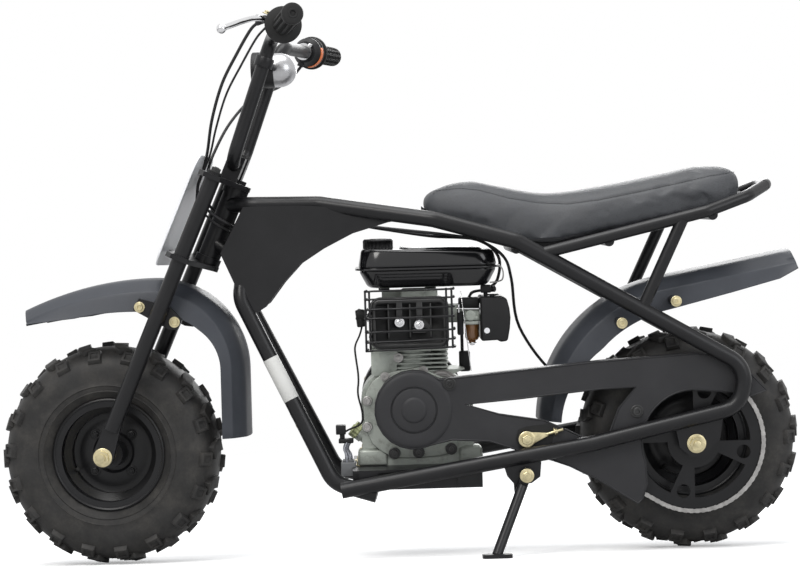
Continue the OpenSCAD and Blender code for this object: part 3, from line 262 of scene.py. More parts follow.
def finish(name, base, rough, metallic=0.0, vary=0.06, vary_scale=18, rough_vary=0.08,
           bump=0.1, bump_scale=900, depth=0.0002, coat=0.0, stretch=(1, 1, 1), build=None,
           dust=0.0, dust_colour=(0.30, 0.275, 0.24), shine=0.5):
    """Procedural material. build may change the colour, the roughness and the height."""
    material = bpy.data.materials.new(name)
    material.use_nodes = True
    tree = material.node_tree
    shader = tree.nodes["Principled BSDF"]
    own = Socket(tree, tree.nodes.new("ShaderNodeTexCoord").outputs["Object"])
    place = add(tree, "ShaderNodeMapping", {}, own, Scale=stretch)
    broad = add(tree, "ShaderNodeTexNoise", {}, place, Scale=vary_scale, Detail=4.0,
                Roughness=0.6)
    height = add(tree, "ShaderNodeTexNoise", {}, place, Scale=bump_scale, Detail=2.0)
    dark = tuple(c * (1 - vary * 2.2) for c in base)
    light = tuple(min(1, c * (1 + vary * 2.2) + vary * 0.01) for c in base)
    colour = add(tree, "ShaderNodeValToRGB", {"stops": [(0.3, dark), (0.7, light)]}, broad)
    roughness = (broad - 0.5) * (rough_vary * 2) + rough
    if build:
        colour, roughness, height = build(tree, place, colour, roughness, height)
    if dust:
        patch = add(tree, "ShaderNodeTexNoise", {}, own, Scale=30.0, Detail=7.0, Roughness=0.72)
        amount = (patch ** 3.0) * dust
        colour = mix(tree, amount, colour, dust_colour)
        roughness = roughness + amount * 0.4
    tree.links.new(colour.out, shader.inputs["Base Color"])
    tree.links.new(roughness.out, shader.inputs["Roughness"])
    bumped = add(tree, "ShaderNodeBump", {}, bump, depth, Height=height)
    tree.links.new(bumped.out, shader.inputs["Normal"])
    shader.inputs["Metallic"].default_value = metallic
    shader.inputs["Specular IOR Level"].default_value = shine
    if coat:
        shader.inputs["Coat Weight"].default_value = coat
        shader.inputs["Coat Roughness"].default_value = 0.07
    return material


# %% [markdown]
# Three finishes need a pattern of their own. Vinyl has a pebbled grain of small cells
# with creases between them, and painted shade darkens the creases. Castings are pitted. A
# steel sheet that gets hot, such as the silencer, turns brown and straw in patches.

# %% Grain with painted shade in its creases, pits and heat
def vinyl_grain_and_crease_shade(tree, place, colour, roughness, height):
    cells = add(tree, "ShaderNodeTexVoronoi", {"feature": "DISTANCE_TO_EDGE"}, place,
                Scale=620.0)
    crease = add(tree, "ShaderNodeMapRange", {}, cells, 0.0, 0.12, 0.0, 1.0)
    # Painted shade: the colour turns darker along the creases between the cells, and the same mask sinks
    # the creases in height
    return mix(tree, crease, (0.02, 0.021, 0.023), colour), roughness, crease + height * 0.25


def casting_pits(tree, place, colour, roughness, height):
    lumps = add(tree, "ShaderNodeTexVoronoi", {"feature": "SMOOTH_F1"}, place, Scale=420.0)
    grime = add(tree, "ShaderNodeTexNoise", {}, place, Scale=55.0, Detail=6.0, Roughness=0.7)
    dirt = add(tree, "ShaderNodeMapRange", {}, grime, 0.52, 0.75, 0.0, 0.6)
    grimy = mix(tree, dirt, colour, (0.11, 0.105, 0.09))
    return grimy, roughness + dirt * 0.25, lumps + height * 0.5


def heat_stain(tree, place, colour, roughness, height):
    patch = add(tree, "ShaderNodeTexNoise", {}, place, Scale=26.0, Detail=5.0, Roughness=0.6)
    shades = [(0.35, (0.05, 0.045, 0.045)), (0.5, (0.13, 0.085, 0.055)), (0.68, (0.2, 0.17, 0.13))]
    stain = add(tree, "ShaderNodeValToRGB", {"stops": shades}, patch)
    return mix(tree, patch * 0.9, colour, stain), roughness + patch * 0.2, height


paint = finish("satin_black_powder_coat", (0.009, 0.009, 0.010), 0.33, vary=0.05,
               bump=0.12, bump_scale=700, depth=0.0003, shine=0.3)
fender_plastic = finish("charcoal_moulded_plastic", (0.042, 0.046, 0.055), 0.46, vary=0.05,
                        bump=0.2, bump_scale=1500, depth=0.0002, shine=0.3)
vinyl = finish("charcoal_seat_vinyl", (0.046, 0.049, 0.055), 0.5, vary=0.06, bump=0.35,
               depth=0.0003, build=vinyl_grain_and_crease_shade)
black_plastic = finish("black_moulded_plastic", (0.014, 0.014, 0.015), 0.45, bump=0.25,
                       bump_scale=1300, shine=0.25)
tank_black = finish("gloss_black_enamel", (0.006, 0.006, 0.007), 0.16, vary=0.02,
                    rough_vary=0.03, bump=0.03, bump_scale=160, coat=0.3, shine=0.4)
hard_rubber = finish("black_grip_rubber", (0.015, 0.015, 0.015), 0.62, bump=0.3, bump_scale=1100,
                     shine=0.25)
tyre_rubber = finish("black_tyre_rubber", (0.0175, 0.0175, 0.018), 0.55, vary=0.1,
                     rough_vary=0.14, bump=0.3, bump_scale=650, depth=0.0004, dust=0.35, shine=0.25)
zinc = finish("yellow_zinc_plate", (0.6, 0.53, 0.33), 0.36, metallic=0.9, vary=0.12,
              vary_scale=70, bump=0.1)
alloy = finish("raw_alloy_casting", (0.36, 0.385, 0.35), 0.5, metallic=0.55, vary=0.1,
               bump=0.35, depth=0.0005, build=casting_pits)
steel = finish("plain_steel", (0.4, 0.39, 0.38), 0.38, metallic=0.9, vary=0.12, vary_scale=60,
               bump=0.08)
chrome = finish("bright_chrome", (0.72, 0.72, 0.73), 0.12, metallic=1.0, vary=0.03,
                rough_vary=0.05, bump=0.02)
silver = finish("silver_lacquer", (0.5, 0.5, 0.51), 0.3, metallic=0.8, vary=0.04, bump=0.05)
hot_steel = finish("heat_stained_sheet", (0.1, 0.095, 0.09), 0.42, metallic=0.7, vary=0.1,
                   bump=0.15, build=heat_stain)
white_plate = finish("white_plate_plastic", (0.86, 0.87, 0.89), 0.34, vary=0.02, bump=0.05)
lens_white = finish("ribbed_lens", (0.75, 0.76, 0.76), 0.12, vary=0.02, bump=0.1, coat=0.6)
orange = finish("orange_switch_plastic", (0.75, 0.16, 0.02), 0.4, vary=0.04, bump=0.1)
gasket_green = finish("green_gasket", (0.02, 0.19, 0.12), 0.6, vary=0.06, bump=0.2)
fuel_brown = finish("amber_bowl", (0.2, 0.09, 0.03), 0.25, vary=0.1, bump=0.05, coat=0.5)

# %% [markdown]
# Every solid that stays as it is gets the finish of its own stuff here. The pieces that
# come later replace some of them.

# %% Finishes of the frame's own solids
looks = {
    paint: "head_tube upper_tubes rear_bends lower_rails down_tubes seat_rail seat_struts "
           "side_panels engine_plate axle_plates stand_bracket fender_stays chain_guard "
           "fork_legs upper_crown lower_crown handlebar fender_brackets front_rim rear_rim "
           "kickstand rear_sprocket muffler_guard",
    fender_plastic: "front_fender rear_fender",
    vinyl: "seat",
    black_plastic: "seat_base recoil_housing tank_cap air_filter throttle",
    tank_black: "fuel_tank",
    hard_rubber: "grips frame_cables fork_cables",
    tyre_rubber: "front_tyre rear_tyre",
    zinc: "rear_axle front_axle oil_filler chain_tensioner",
    alloy: "crankcase engine_cylinder carburettor brake_caliper",
    steel: "chain clutch brake_disc",
    hot_steel: "muffler",
    chrome: "brake_lever",
    silver: "headlamp",
    white_plate: "number_plate",
}
for material, names in looks.items():
    for name in names.split():
        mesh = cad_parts[name].data
        mesh.materials.clear()
        mesh.materials.append(material)
print(sum(len(n.split()) for n in looks.values()), "solids have their finish")
# Where the pieces of each body are modelled
HOMES = {"frame": BIKE, "fork": FORK, "front_wheel": FRONT_HUB, "rear_wheel": REAR_HUB}

# %% [markdown]
# ## Hand tools
#
# A new primitive comes selected all over, and so may older pieces. These helpers clear
# the selection, add a primitive at its place on the upright machine, and pick faces or
# edges by where they are, as a modeller does with the mouse.

# %% Helpers for modelling
def hands_off():
    """Leaves edit mode with nothing selected."""
    if bpy.context.object and bpy.context.object.mode != "OBJECT":
        bpy.ops.object.mode_set(mode="OBJECT")
    bpy.ops.object.select_all(action="DESELECT")


def take(o):
    """Makes a piece the only one selected, and the active one."""
    hands_off()
    o.select_set(True)
    bpy.context.view_layer.objects.active = o


def raw(name, points, edges=(), faces=()):
    """Piece from points, edges and faces."""
    mesh = bpy.data.meshes.new(name)
    mesh.from_pydata(points, edges, faces)
    o = bpy.data.objects.new(name, mesh)
    bpy.context.scene.collection.objects.link(o)
    return o


def primitive(kind, place=(0, 0, 0), turn=(0, 0, 0), span=(1, 1, 1), **shape):
    """Adds a primitive at a place, turned, and scaled to a size in metres."""
    hands_off()
    getattr(bpy.ops.mesh, f"primitive_{kind}_add")(location=place, rotation=turn, **shape)
    o = bpy.context.object
    o.scale = span
    bpy.ops.object.transform_apply(location=False, rotation=False, scale=True)
    return o


def block(low, high):
    """Box between two corners."""
    low, high = Vector(low), Vector(high)
    return primitive("cube", (low + high) / 2, span=(high - low) / 2)


def edit(o, kind="FACE"):
    """Opens a mesh in edit mode with nothing selected."""
    take(o)
    bpy.ops.object.mode_set(mode="EDIT")
    bpy.ops.mesh.select_mode(type=kind)
    bpy.ops.mesh.select_all(action="DESELECT")


def pick(o, test, kind="faces"):
    """Selects what passes a test of its place, and of its normal where it has one."""
    mesh = bmesh.from_edit_mesh(o.data)
    chosen = 0
    for part in getattr(mesh, kind):
        if kind == "verts":
            hit = test(part.co, part.normal)
        elif kind == "edges":
            hit = test((part.verts[0].co + part.verts[1].co) / 2,
                       part.verts[1].co - part.verts[0].co)
        else:
            hit = test(part.calc_center_median(), part.normal)
        part.select = bool(hit)
        chosen += bool(hit)
    mesh.select_flush_mode()
    bmesh.update_edit_mesh(o.data)
    return chosen


def close(o):
    bpy.ops.object.mode_set(mode="OBJECT")
    return o


def modify(o, kind, **settings):
    """Adds a modifier and applies it."""
    take(o)
    m = o.modifiers.new(kind.lower(), kind)
    for name, value in settings.items():
        setattr(m, name, value)
    bpy.ops.object.modifier_apply(modifier=m.name)
    return o


def even_out(o):
    """Turns all faces of a mesh in edit mode outwards, and closes it."""
    bpy.ops.mesh.select_all(action="SELECT")
    bpy.ops.mesh.normals_make_consistent(inside=False)
    return close(o)


def pull(*by):
    """Extrudes what is selected by a step in metres."""
    bpy.ops.mesh.extrude_region_move(TRANSFORM_OT_translate={"value": by})


def press(depth):
    """Extrudes each selected face along its own normal; inwards below zero."""
    bpy.ops.mesh.extrude_faces_move(TRANSFORM_OT_shrink_fatten={"value": depth})


def every_other(c, step):
    """True in every other sector of so many degrees round Z."""
    return int(degrees(atan2(c.y, c.x)) // step) % 2 == 0


def facing(place, axis):
    """Matrix that stands a piece at a place, with its Z along an axis."""
    return Matrix.Translation(place) @ Vector(axis).to_track_quat("Z", "Y").to_matrix().to_4x4()


def stood(o, matrix):
    """Moves a piece by a matrix, and lets the scene know."""
    o.matrix_world = matrix
    bpy.context.view_layer.update()
    return o


def in_mm(profile):
    return [(r * MM, d * MM) for r, d in profile]


def bevel(o, width, segments=2, angle=35):
    return modify(o, "BEVEL", width=width, segments=segments, limit_method="ANGLE",
                  angle_limit=radians(angle))


def smooth(o, angle=35):
    take(o)
    bpy.ops.object.shade_smooth_by_angle(angle=radians(angle))
    return o


def copy_of(o, matrix=None):
    """Copy with its own mesh, moved by a matrix."""
    twin = o.copy()
    twin.data = o.data.copy()
    bpy.context.scene.collection.objects.link(twin)
    if matrix is not None:
        twin.data.transform(matrix @ twin.matrix_world)
        twin.matrix_world = Matrix.Identity(4)
    return twin


def join(parts):
    hands_off()
    for o in parts:
        o.select_set(True)
    bpy.context.view_layer.objects.active = parts[0]
    if len(parts) > 1:
        bpy.ops.object.join()
    return bpy.context.object


def repeat(o, matrices):
    """Copies of a piece at several places, joined. The pattern itself is used up."""
    many = join([copy_of(o, m) for m in matrices])
    bpy.data.objects.remove(o)
    return many


def settle(o, name, look, body="frame", stands_for=(), where=None):
    """Tips a finished piece, or a list of parts, over with the machine and binds it to its body."""
    if isinstance(o, list):
        o = join(o)
    hands_off()
    o.name = o.data.name = name
    o.data.transform((where or HOMES[body]) @ o.matrix_world)
    o.parent = None
    o.matrix_world = Matrix.Identity(4)
    o.data.materials.clear()
    o.data.materials.append(look)
    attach(o, body)
    if stands_for:
        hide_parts(*stands_for)
    return o


def tube(points, radius, sides=10, smooth_path=True, closed=False):
    """Round bar along points, as a mesh."""
    hands_off()
    curve = bpy.data.curves.new("path", "CURVE")
    curve.dimensions = "3D"
    curve.bevel_depth = radius
    curve.bevel_resolution = max(1, sides // 4 - 1)
    curve.use_fill_caps = True
    line = curve.splines.new("NURBS" if smooth_path else "POLY")
    line.points.add(len(points) - 1)
    for p, q in zip(line.points, points):
        p.co = (*q, 1)
    line.use_endpoint_u = True
    line.order_u = 3
    line.resolution_u = 6
    line.use_cyclic_u = closed
    o = bpy.data.objects.new("path", curve)
    bpy.context.scene.collection.objects.link(o)
    o.select_set(True)
    bpy.context.view_layer.objects.active = o
    bpy.ops.object.convert(target="MESH")
    return smooth(bpy.context.object, 60)


def spun(profile, steps=48, turn=(0, 0, 0), place=(0, 0, 0)):
    """Turned piece: a closed profile of (radius, height) points in metres, spun about Z."""
    hands_off()
    n = len(profile)
    open_ends = profile[0][0] < 1e-6 and profile[-1][0] < 1e-6
    o = raw("profile", [(r, 0, z) for r, z in profile],
            [(i, (i + 1) % n) for i in range(n - open_ends)])
    edit(o, "VERT")
    bpy.ops.mesh.select_all(action="SELECT")
    bpy.ops.mesh.spin(steps=steps, angle=2 * pi, center=(0, 0, 0), axis=(0, 0, 1))
    bpy.ops.mesh.select_all(action="SELECT")
    bpy.ops.mesh.remove_doubles(threshold=1e-6)
    even_out(o)
    o.rotation_euler = turn
    o.location = place
    bpy.context.view_layer.update()
    return smooth(o, 30)


# A turned piece whose axis lies across the machine, its far end towards the left side
ACROSS = (-pi / 2, 0, 0)


def hex_bolt(place, axis, across_flats=0.010, head=0.005, washer=True, socket=False):
    """Hexagon bolt head with its washer, facing along an axis."""
    r = across_flats / sqrt(3)
    parts = []
    if washer:
        parts.append(spun([(0, 0), (r * 1.45, 0), (r * 1.5, 0.0004), (r * 1.5, 0.001),
                           (r * 1.4, 0.0014), (0, 0.0014)], 24))
    if socket:
        rim, well = head + 0.0006, head - 0.0018
        parts.append(spun([(0, 0.001), (r, 0.001), (r, head), (r * 0.9, rim), (r * 0.55, rim),
                           (r * 0.5, well), (0, well)], 24))
    else:
        nut = primitive("cylinder", (0, 0, head / 2 + 0.0008), vertices=6, radius=r, depth=head)
        edit(nut)
        pick(nut, lambda c, n: n.z > 0.9)
        bpy.ops.mesh.inset(thickness=r * 0.12)
        bpy.ops.transform.translate(value=(0, 0, head * 0.12))
        bpy.ops.mesh.inset(thickness=r * 0.3)
        pull(0, 0, head * 0.18)
        close(nut)
        parts.append(bevel(nut, 0.0003, 1))
    o = join(parts)
    o.matrix_world = facing(place, axis) @ o.matrix_world
    take(o)
    bpy.ops.object.transform_apply(location=True, rotation=True, scale=True)
    return o


LEFT, RIGHT, UP = Vector((0, 1, 0)), Vector((0, -1, 0)), Vector((0, 0, 1))
print("hand tools ready")

# %% [markdown]
# ## Tyres
#
# The fat tyres give the machine its look. The carcass is a fat, squarish ring, and the
# tread stands on it as separate rubber blocks: square ones with a dimple on each
# shoulder, and slanted bars across the crown. The carcass is turned from a profile, one
# block of each kind is modelled, and the blocks are copied around the ring. Bump alone
# wouldn't do, because the blocks show in the outline.

# %% The carcass
TYRE_HALF, TYRE_R, MID_R, LUG = 0.0725, 0.180, 0.128, 0.0075
# The blocks sink a little into the carcass, so that their tops stay inside the solid tyre's box
SINK = 0.0016
RIM_R, RIM_HALF = 0.089, 0.053


def wall(angle, inward=0.0):
    """Point on the tyre's section: distance from the middle plane, and radius."""
    c, s = cos(angle), sin(angle)
    half, rise = TYRE_HALF - inward, TYRE_R - MID_R - inward
    return half * max(0.0, c) ** 0.8, MID_R + rise * max(0.0, s) ** 0.8


def carcass():
    outer = [(r, y) for y, r in (wall(radians(angle), LUG) for angle in range(0, 91, 6))]
    ridge = [(RIM_R + 0.0055, 0.0565), (0.101, 0.0615), (0.1025, 0.0632), (0.104, 0.0622),
             (0.1105, 0.0638), (0.112, 0.0655), (0.1135, 0.0648), (0.121, 0.0652)]
    bead = [(RIM_R - 0.0085, RIM_HALF - 0.0046), (RIM_R, RIM_HALF - 0.0036),
            (RIM_R + 0.0035, RIM_HALF + 0.0005)]
    half = bead + ridge + outer
    inside = [(0.166, 0.0), (0.158, 0.05), (0.128, 0.058), (RIM_R - 0.001, 0.040),
              (RIM_R - 0.0085, 0.040)]
    ring = half + [(r, -y) for r, y in reversed(half[:-1])]
    ring += [(r, -y) for r, y in reversed(inside)] + [(r, y) for r, y in inside[1:]]
    return spun(ring, 96, ACROSS)


def tread_frame(turn, angle, side):
    """Place of a block: X around the tyre, Y across the tread, Z out of it."""
    y, r = wall(radians(angle), LUG)
    y2, r2 = wall(radians(angle + 1), LUG)
    along = Vector((0, side * (y2 - y), r2 - r)).normalized()
    x = Vector((1, 0, 0))
    out = Vector((0, side * abs(along.z), abs(along.y))).normalized()
    across = out.cross(x)
    spot = Matrix((x, across, out)).transposed().to_4x4()
    spot.translation = Vector((0, side * y, r)) - out * SINK
    return Matrix.Rotation(turn, 4, "Y") @ spot


def shoulder_block():
    o = primitive("cube", (0, 0, LUG / 2 - 0.001), span=(0.0115, 0.012, LUG / 2 + 0.001))
    edit(o)
    pick(o, lambda c, n: n.z > 0.9)
    bpy.ops.transform.resize(value=(0.86, 0.86, 1))
    bpy.ops.mesh.inset(thickness=0.0042)
    pull(0, 0, -0.0022)
    close(o)
    return smooth(bevel(o, 0.0008, 2), 40)


def crown_block():
    o = primitive("cube", (0, 0, LUG / 2 - 0.001), span=(0.0105, 0.0175, LUG / 2 + 0.001))
    edit(o)
    bpy.ops.mesh.select_all(action="SELECT")
    bpy.ops.mesh.subdivide(number_cuts=2)
    pick(o, lambda c, n: abs(c.y) < 0.007, "verts")
    bpy.ops.transform.translate(value=(0.0035, 0, 0))
    pick(o, lambda c, n: c.z > LUG - 0.002, "verts")
    bpy.ops.transform.resize(value=(0.86, 0.92, 1))
    close(o)
    return smooth(bevel(o, 0.0008, 2, 50), 40)


BLOCKS = 18
BLOCK_TURN = 2 * pi / BLOCKS
# Place of both rows on the tyre's section, in degrees up from its side, and the bars' slant
SHOULDER_AT, CROWN_AT, SLANT = 36, 66, 0.35
for wheel in ("front", "rear"):
    rows = [(side, i * BLOCK_TURN + (side > 0) * BLOCK_TURN / 2)
            for side in (-1, 1) for i in range(BLOCKS)]
    shoulders = repeat(shoulder_block(), [tread_frame(turn, SHOULDER_AT, side) for side, turn in rows])
    middles = repeat(crown_block(), [
        tread_frame(turn + BLOCK_TURN / 4, CROWN_AT, side) @ Matrix.Rotation(side * SLANT, 4, "Z")
        for side, turn in rows])
    tyre = join([carcass(), shoulders, middles])
    settle(tyre, f"{wheel}_knobby_tyre", tyre_rubber, f"{wheel}_wheel", (f"{wheel}_tyre",))
print("each tyre has", 4 * BLOCKS, "blocks and", len(tyre.data.polygons), "faces")

# %% [markdown]
# The rims are pressed steel in two halves with rolled edges, bolted together around the
# hub. The frame's own rims have the right dish, so they stay. A rolled edge, a stepped
# ring, the bolts and the valve are added to them.

# %% Rims: rolled edges, bolts and valve
RIM_BOLTS, BOLT_CIRCLE = 4, 0.042
rolled_edge = [(RIM_R + r, RIM_HALF + y) for r, y in (
    (-0.0005, -0.004), (0.0015, -0.002), (0.0015, 0.0006), (-0.0008, 0.0018), (-0.003, 0.0006),
    (-0.004, -0.003), (-0.0042, -0.022), (-0.0034, -0.022), (-0.0032, -0.006))]
stepped_ring = [(0.030, 0.004), (0.030, 0.0075), (0.034, 0.010), (0.050, 0.010), (0.054, 0.008),
                (0.064, 0.008), (0.068, 0.010), (0.0725, 0.018), (0.0735, 0.018), (0.070, 0.008),
                (0.066, 0.004)]
for wheel in ("front", "rear"):
    parts = []
    for side in (-1, 1):
        turn = (-pi / 2 * side, 0, 0)
        parts += [spun(rolled_edge, 72, turn), spun(stepped_ring, 72, turn)]
        for i in range(RIM_BOLTS):
            a = i * 2 * pi / RIM_BOLTS + 0.4
            place = (BOLT_CIRCLE * cos(a), side * 0.0102, BOLT_CIRCLE * sin(a))
            parts.append(hex_bolt(place, (0, side, 0), 0.010, 0.005))
    settle(parts, f"{wheel}_rim_pressing", paint, f"{wheel}_wheel")
    stem = spun([(0, 0), (0.0042, 0), (0.0042, 0.006), (0.0028, 0.009), (0.0026, 0.022),
                 (0.0032, 0.0225), (0.0032, 0.031), (0.0022, 0.032), (0, 0.032)], 16,
                (-pi / 2 - 0.5, 0, 0), (0, 0.012, 0.0725))
    stem.data.transform(stem.matrix_world)
    stem.matrix_world = Matrix.Rotation(2.4, 4, "Y")
    settle(stem, f"{wheel}_valve", hard_rubber, f"{wheel}_wheel")

# %% [markdown]
# ## Chain and sprockets
#
# The chain is the machine's most mechanical detail, so it is real: inner and outer
# links, rollers and pins, one pitch apart along the belt line. The line is worked out
# from the two sprockets and the idler, exactly as the solid band is.

# %% The line of the chain
CHAIN_Y, PITCH, TEETH, DRIVE_TEETH = 0.086, 0.009525, 73, 12
HUB, CRANK, IDLER = Vector((-0.466, 0)), Vector((-0.022, 0.064)), Vector((-0.199, 0.013))
R_REAR, R_DRIVE = PITCH / (2 * sin(pi / TEETH)), PITCH / (2 * sin(pi / DRIVE_TEETH))
R_IDLER = 0.011 + 0.0046 + 0.0003


def bearing(a, b):
    return atan2((b - a).y, (b - a).x)


top = bearing(HUB, CRANK) + acos((R_REAR - R_DRIVE) / (CRANK - HUB).length)
low_rear = bearing(HUB, IDLER) - acos((R_REAR + R_IDLER) / (IDLER - HUB).length)
low_front = bearing(CRANK, IDLER) + acos((R_DRIVE + R_IDLER) / (CRANK - IDLER).length)


def arc_points(centre, r, a0, a1, n):
    angles = [a0 + (a1 - a0) * i / n for i in range(n + 1)]
    return [centre + r * Vector((cos(a), sin(a))) for a in angles]


belt = (arc_points(HUB, R_REAR, top, 2 * pi + low_rear, 120)
        + arc_points(IDLER, -R_IDLER, 2 * pi + low_rear, 2 * pi + low_front, 10)
        + arc_points(CRANK, R_DRIVE, 2 * pi + low_front, 2 * pi + top, 40))
belt.append(belt[0])
distances = [0.0]
for a, b in zip(belt, belt[1:]):
    distances.append(distances[-1] + (b - a).length)
links = 2 * round(distances[-1] / PITCH / 2)
print("chain of", links, "links,", round(distances[-1], 4), "m")


def on_belt(s):
    """Point of the belt line, s metres along it."""
    s = s % distances[-1]
    i = max(k for k in range(len(distances) - 1) if distances[k] <= s + 1e-12)
    t = (s - distances[i]) / max(1e-9, distances[i + 1] - distances[i])
    return belt[i].lerp(belt[i + 1], min(1.0, t))


# %% One pair of links, copied along the line
def link_plate(y, thick, long_half, tall):
    """Plate of a link: a disc drawn out lengthwise, with a waist."""
    o = primitive("cylinder", (0, y, 0), (pi / 2, 0, 0), vertices=12, radius=tall, depth=thick)
    edit(o, "VERT")
    pick(o, lambda c, n: c.x > 0.0001, "verts")
    bpy.ops.transform.translate(value=(long_half, 0, 0))
    pick(o, lambda c, n: c.x < -0.0001, "verts")
    bpy.ops.transform.translate(value=(-long_half, 0, 0))
    pick(o, lambda c, n: abs(c.x) < 0.0001, "verts")
    bpy.ops.transform.resize(value=(1, 1, 0.72))
    return close(o)


half_pitch = PITCH / 2
inner = [link_plate(s * 0.0030, 0.0012, half_pitch, 0.0042) for s in (-1, 1)]
inner += [primitive("cylinder", (s * half_pitch, 0, 0), (pi / 2, 0, 0), vertices=10,
                    radius=0.0025, depth=0.005) for s in (-1, 1)]
outer = [link_plate(s * 0.0043, 0.0012, half_pitch, 0.0040) for s in (-1, 1)]
outer += [primitive("cylinder", (s * half_pitch, 0, 0), (pi / 2, 0, 0), vertices=8,
                    radius=0.0013, depth=0.0108) for s in (-1, 1)]
patterns = [join(inner), join(outer)]
step = distances[-1] / links
chain_parts = []
for kind, pattern in enumerate(patterns):
    spots = []
    for i in range(kind, links, 2):
        a, b = on_belt(i * step), on_belt((i + 1) * step)
        c = (a + b) / 2
        spots.append(Matrix.Translation((c.x, CHAIN_Y, AXLE + c.y))
                     @ Matrix.Rotation(-bearing(a, b), 4, "Y"))
    chain_parts.append(repeat(pattern, spots))
links_piece = smooth(join(chain_parts), 40)
settle(links_piece, "chain_links", steel, stands_for=("chain",))
print("chain:", len(links_piece.data.polygons), "faces")


# %% [markdown]
# A sprocket's teeth are hollows that a roller fits into. Around the rim, each tooth is
# drawn by five points, and the outline is given its thickness by extruding the ring.

# %% Sprocket teeth
# Along one pitch: share of the pitch, and height over the pitch circle in metres
TOOTH = [(-0.28, -0.0018), (0.0, -0.0026), (0.28, -0.0018), (0.43, 0.0016), (0.5, 0.0026),
         (0.57, 0.0016)]


def toothed_ring(teeth, r, inner_r, thick, name):
    """Flat ring with a sprocket's teeth, its axis across the machine."""
    p = 2 * pi / teeth
    outline = [(r + rise, 2 * pi * i / teeth + share * p) for i in range(teeth) for share, rise in TOOTH]
    n = len(outline)
    points, faces = [], []
    for y in (-thick / 2, thick / 2):
        points += [(q * cos(a), y, q * sin(a)) for q, a in outline]
        points += [(inner_r * cos(a), y, inner_r * sin(a)) for q, a in outline]
    for i in range(n):
        j = (i + 1) % n
        faces += [(i, j, n + j, n + i), (2 * n + i, 3 * n + i, 3 * n + j, 2 * n + j),
                  (i, 2 * n + i, 2 * n + j, j), (n + i, n + j, 3 * n + j, 3 * n + i)]
    o = raw(name, points, [], faces)
    edit(o)
    return even_out(o)


teeth = toothed_ring(TEETH, R_REAR, R_REAR - 0.006, 0.0026, "teeth")
teeth.data.transform(Matrix.Translation((0, CHAIN_Y, 0)))
settle(teeth, "rear_sprocket_teeth", steel, "rear_wheel")
small = toothed_ring(DRIVE_TEETH, R_DRIVE, 0.008, 0.0028, "small_teeth")
small.data.transform(Matrix.Translation((CRANK.x, CHAIN_Y, AXLE + CRANK.y)))
settle(small, "drive_sprocket_teeth", steel)

# %% [markdown]
# ## Fenders
#
# Both fenders are moulded from dark plastic, three millimetres thick. The crown is flat,
# the shoulder slopes to a crease, and a skirt hangs from it. Such a shape is a grid that
# is bent: one direction follows the wheel, the other the section. Solidify gives the
# wall its thickness, and a bevel takes the sharpness off the rim.

# %% A grid bent along stations
def soften(points, rounds=2):
    """Cuts the corners of an open line, keeping its ends."""
    for _ in range(rounds):
        cut = [points[0]]
        for a, b in zip(points, points[1:]):
            cut += [a.lerp(b, 0.25), a.lerp(b, 0.75)]
        points = cut + [points[-1]]
    return points


def bent_grid(columns):
    """Grid whose columns are lists of points with the same length."""
    nx, ny = len(columns), len(columns[0])
    o = primitive("grid", x_subdivisions=nx - 1, y_subdivisions=ny - 1, size=2)
    xs = sorted({round(v.co.x, 5) for v in o.data.vertices})
    ys = sorted({round(v.co.y, 5) for v in o.data.vertices})
    column = {x: i for i, x in enumerate(xs)}
    row = {y: i for i, y in enumerate(ys)}
    for v in o.data.vertices:
        v.co = columns[column[round(v.co.x, 5)]][row[round(v.co.y, 5)]]
    return o


def outward(o, centre):
    """Turns the faces of an open sheet away from a point."""
    edit(o)
    even_out(o)
    face = o.data.polygons[len(o.data.polygons) // 2]
    if face.normal.dot(Vector(face.center) - centre) < 0:
        edit(o)
        bpy.ops.mesh.select_all(action="SELECT")
        bpy.ops.mesh.flip_normals()
        close(o)
    return o


# Half the width, how far the crease lies inside it, and how far it lies below the crown
HALF_W, CREASE_IN, CROWN_DROP = 76, 9, 19
CREASE = HALF_W - CREASE_IN


def between(table, x):
    """Value of a table of (place, value) at x, on straight lines."""
    table = sorted(table)
    for (x0, v0), (x1, v1) in zip(table, table[1:]):
        if x <= x1:
            return v0 + (v1 - v0) * max(0, (x - x0)) / (x1 - x0)
    return table[-1][1]


def fender(stations, skirts):
    """Fender along stations of a place and its outward direction; skirts gives the skirt's depth."""
    columns = []
    for x, h, nx, nz in stations:
        s = between(skirts, x)
        corners = [(0, -1.5), (28, 0), (40, 2), (62, 16), (CREASE, CROWN_DROP),
                   (CREASE + 1.5, CROWN_DROP + 3), (HALF_W, CROWN_DROP + s),
                   (HALF_W, CROWN_DROP + s + 0.01)]
        half = soften([Vector(corner) for corner in corners])
        section = [Vector((-p.x, p.y)) for p in reversed(half[1:])] + half
        columns.append([at(x - nx * p.y, h - nz * p.y, p.x) for p in section])
    o = bent_grid(columns)
    outward(o, at(sum(q[0] for q in stations) / len(stations), 0))
    modify(o, "SOLIDIFY", thickness=0.003, offset=-1)
    bevel(o, 0.0008, 2, 50)
    return smooth(o, 40)


def arc_stations(cx, ch, r, a0, a1, n):
    """Places along an arc from one angle to another, in degrees, each with its outward direction."""
    angles = [radians(a0 + (a1 - a0) * i / n) for i in range(n + 1)]
    return [(cx + r * cos(a), ch + r * sin(a), cos(a), sin(a)) for a in angles]


def straight(last, dx, dh, n):
    """Places on a straight line that goes on from the last one."""
    return [(last[0] + dx * i / n, last[1] + dh * i / n, last[2], last[3]) for i in range(1, n + 1)]


crest_x, crest_h = 466 - 75, 280
front = arc_stations(crest_x, crest_h - 500, 500, 90 - 24.5, 90, 16)
front += arc_stations(crest_x, crest_h - 148, 148, 90, 180, 26)[1:]
front += straight(front[-1], 0, -109, 8)
front_skirts = [(236, 15), (244, 16), (276, 26), (316, 32), (391, 33), (466, 28), (526, 24),
                (566, 15), (606, 3)]
settle(fender(front, front_skirts), "front_fender_shell", fender_plastic, "fork", ("front_fender",),
       where=TURNED)

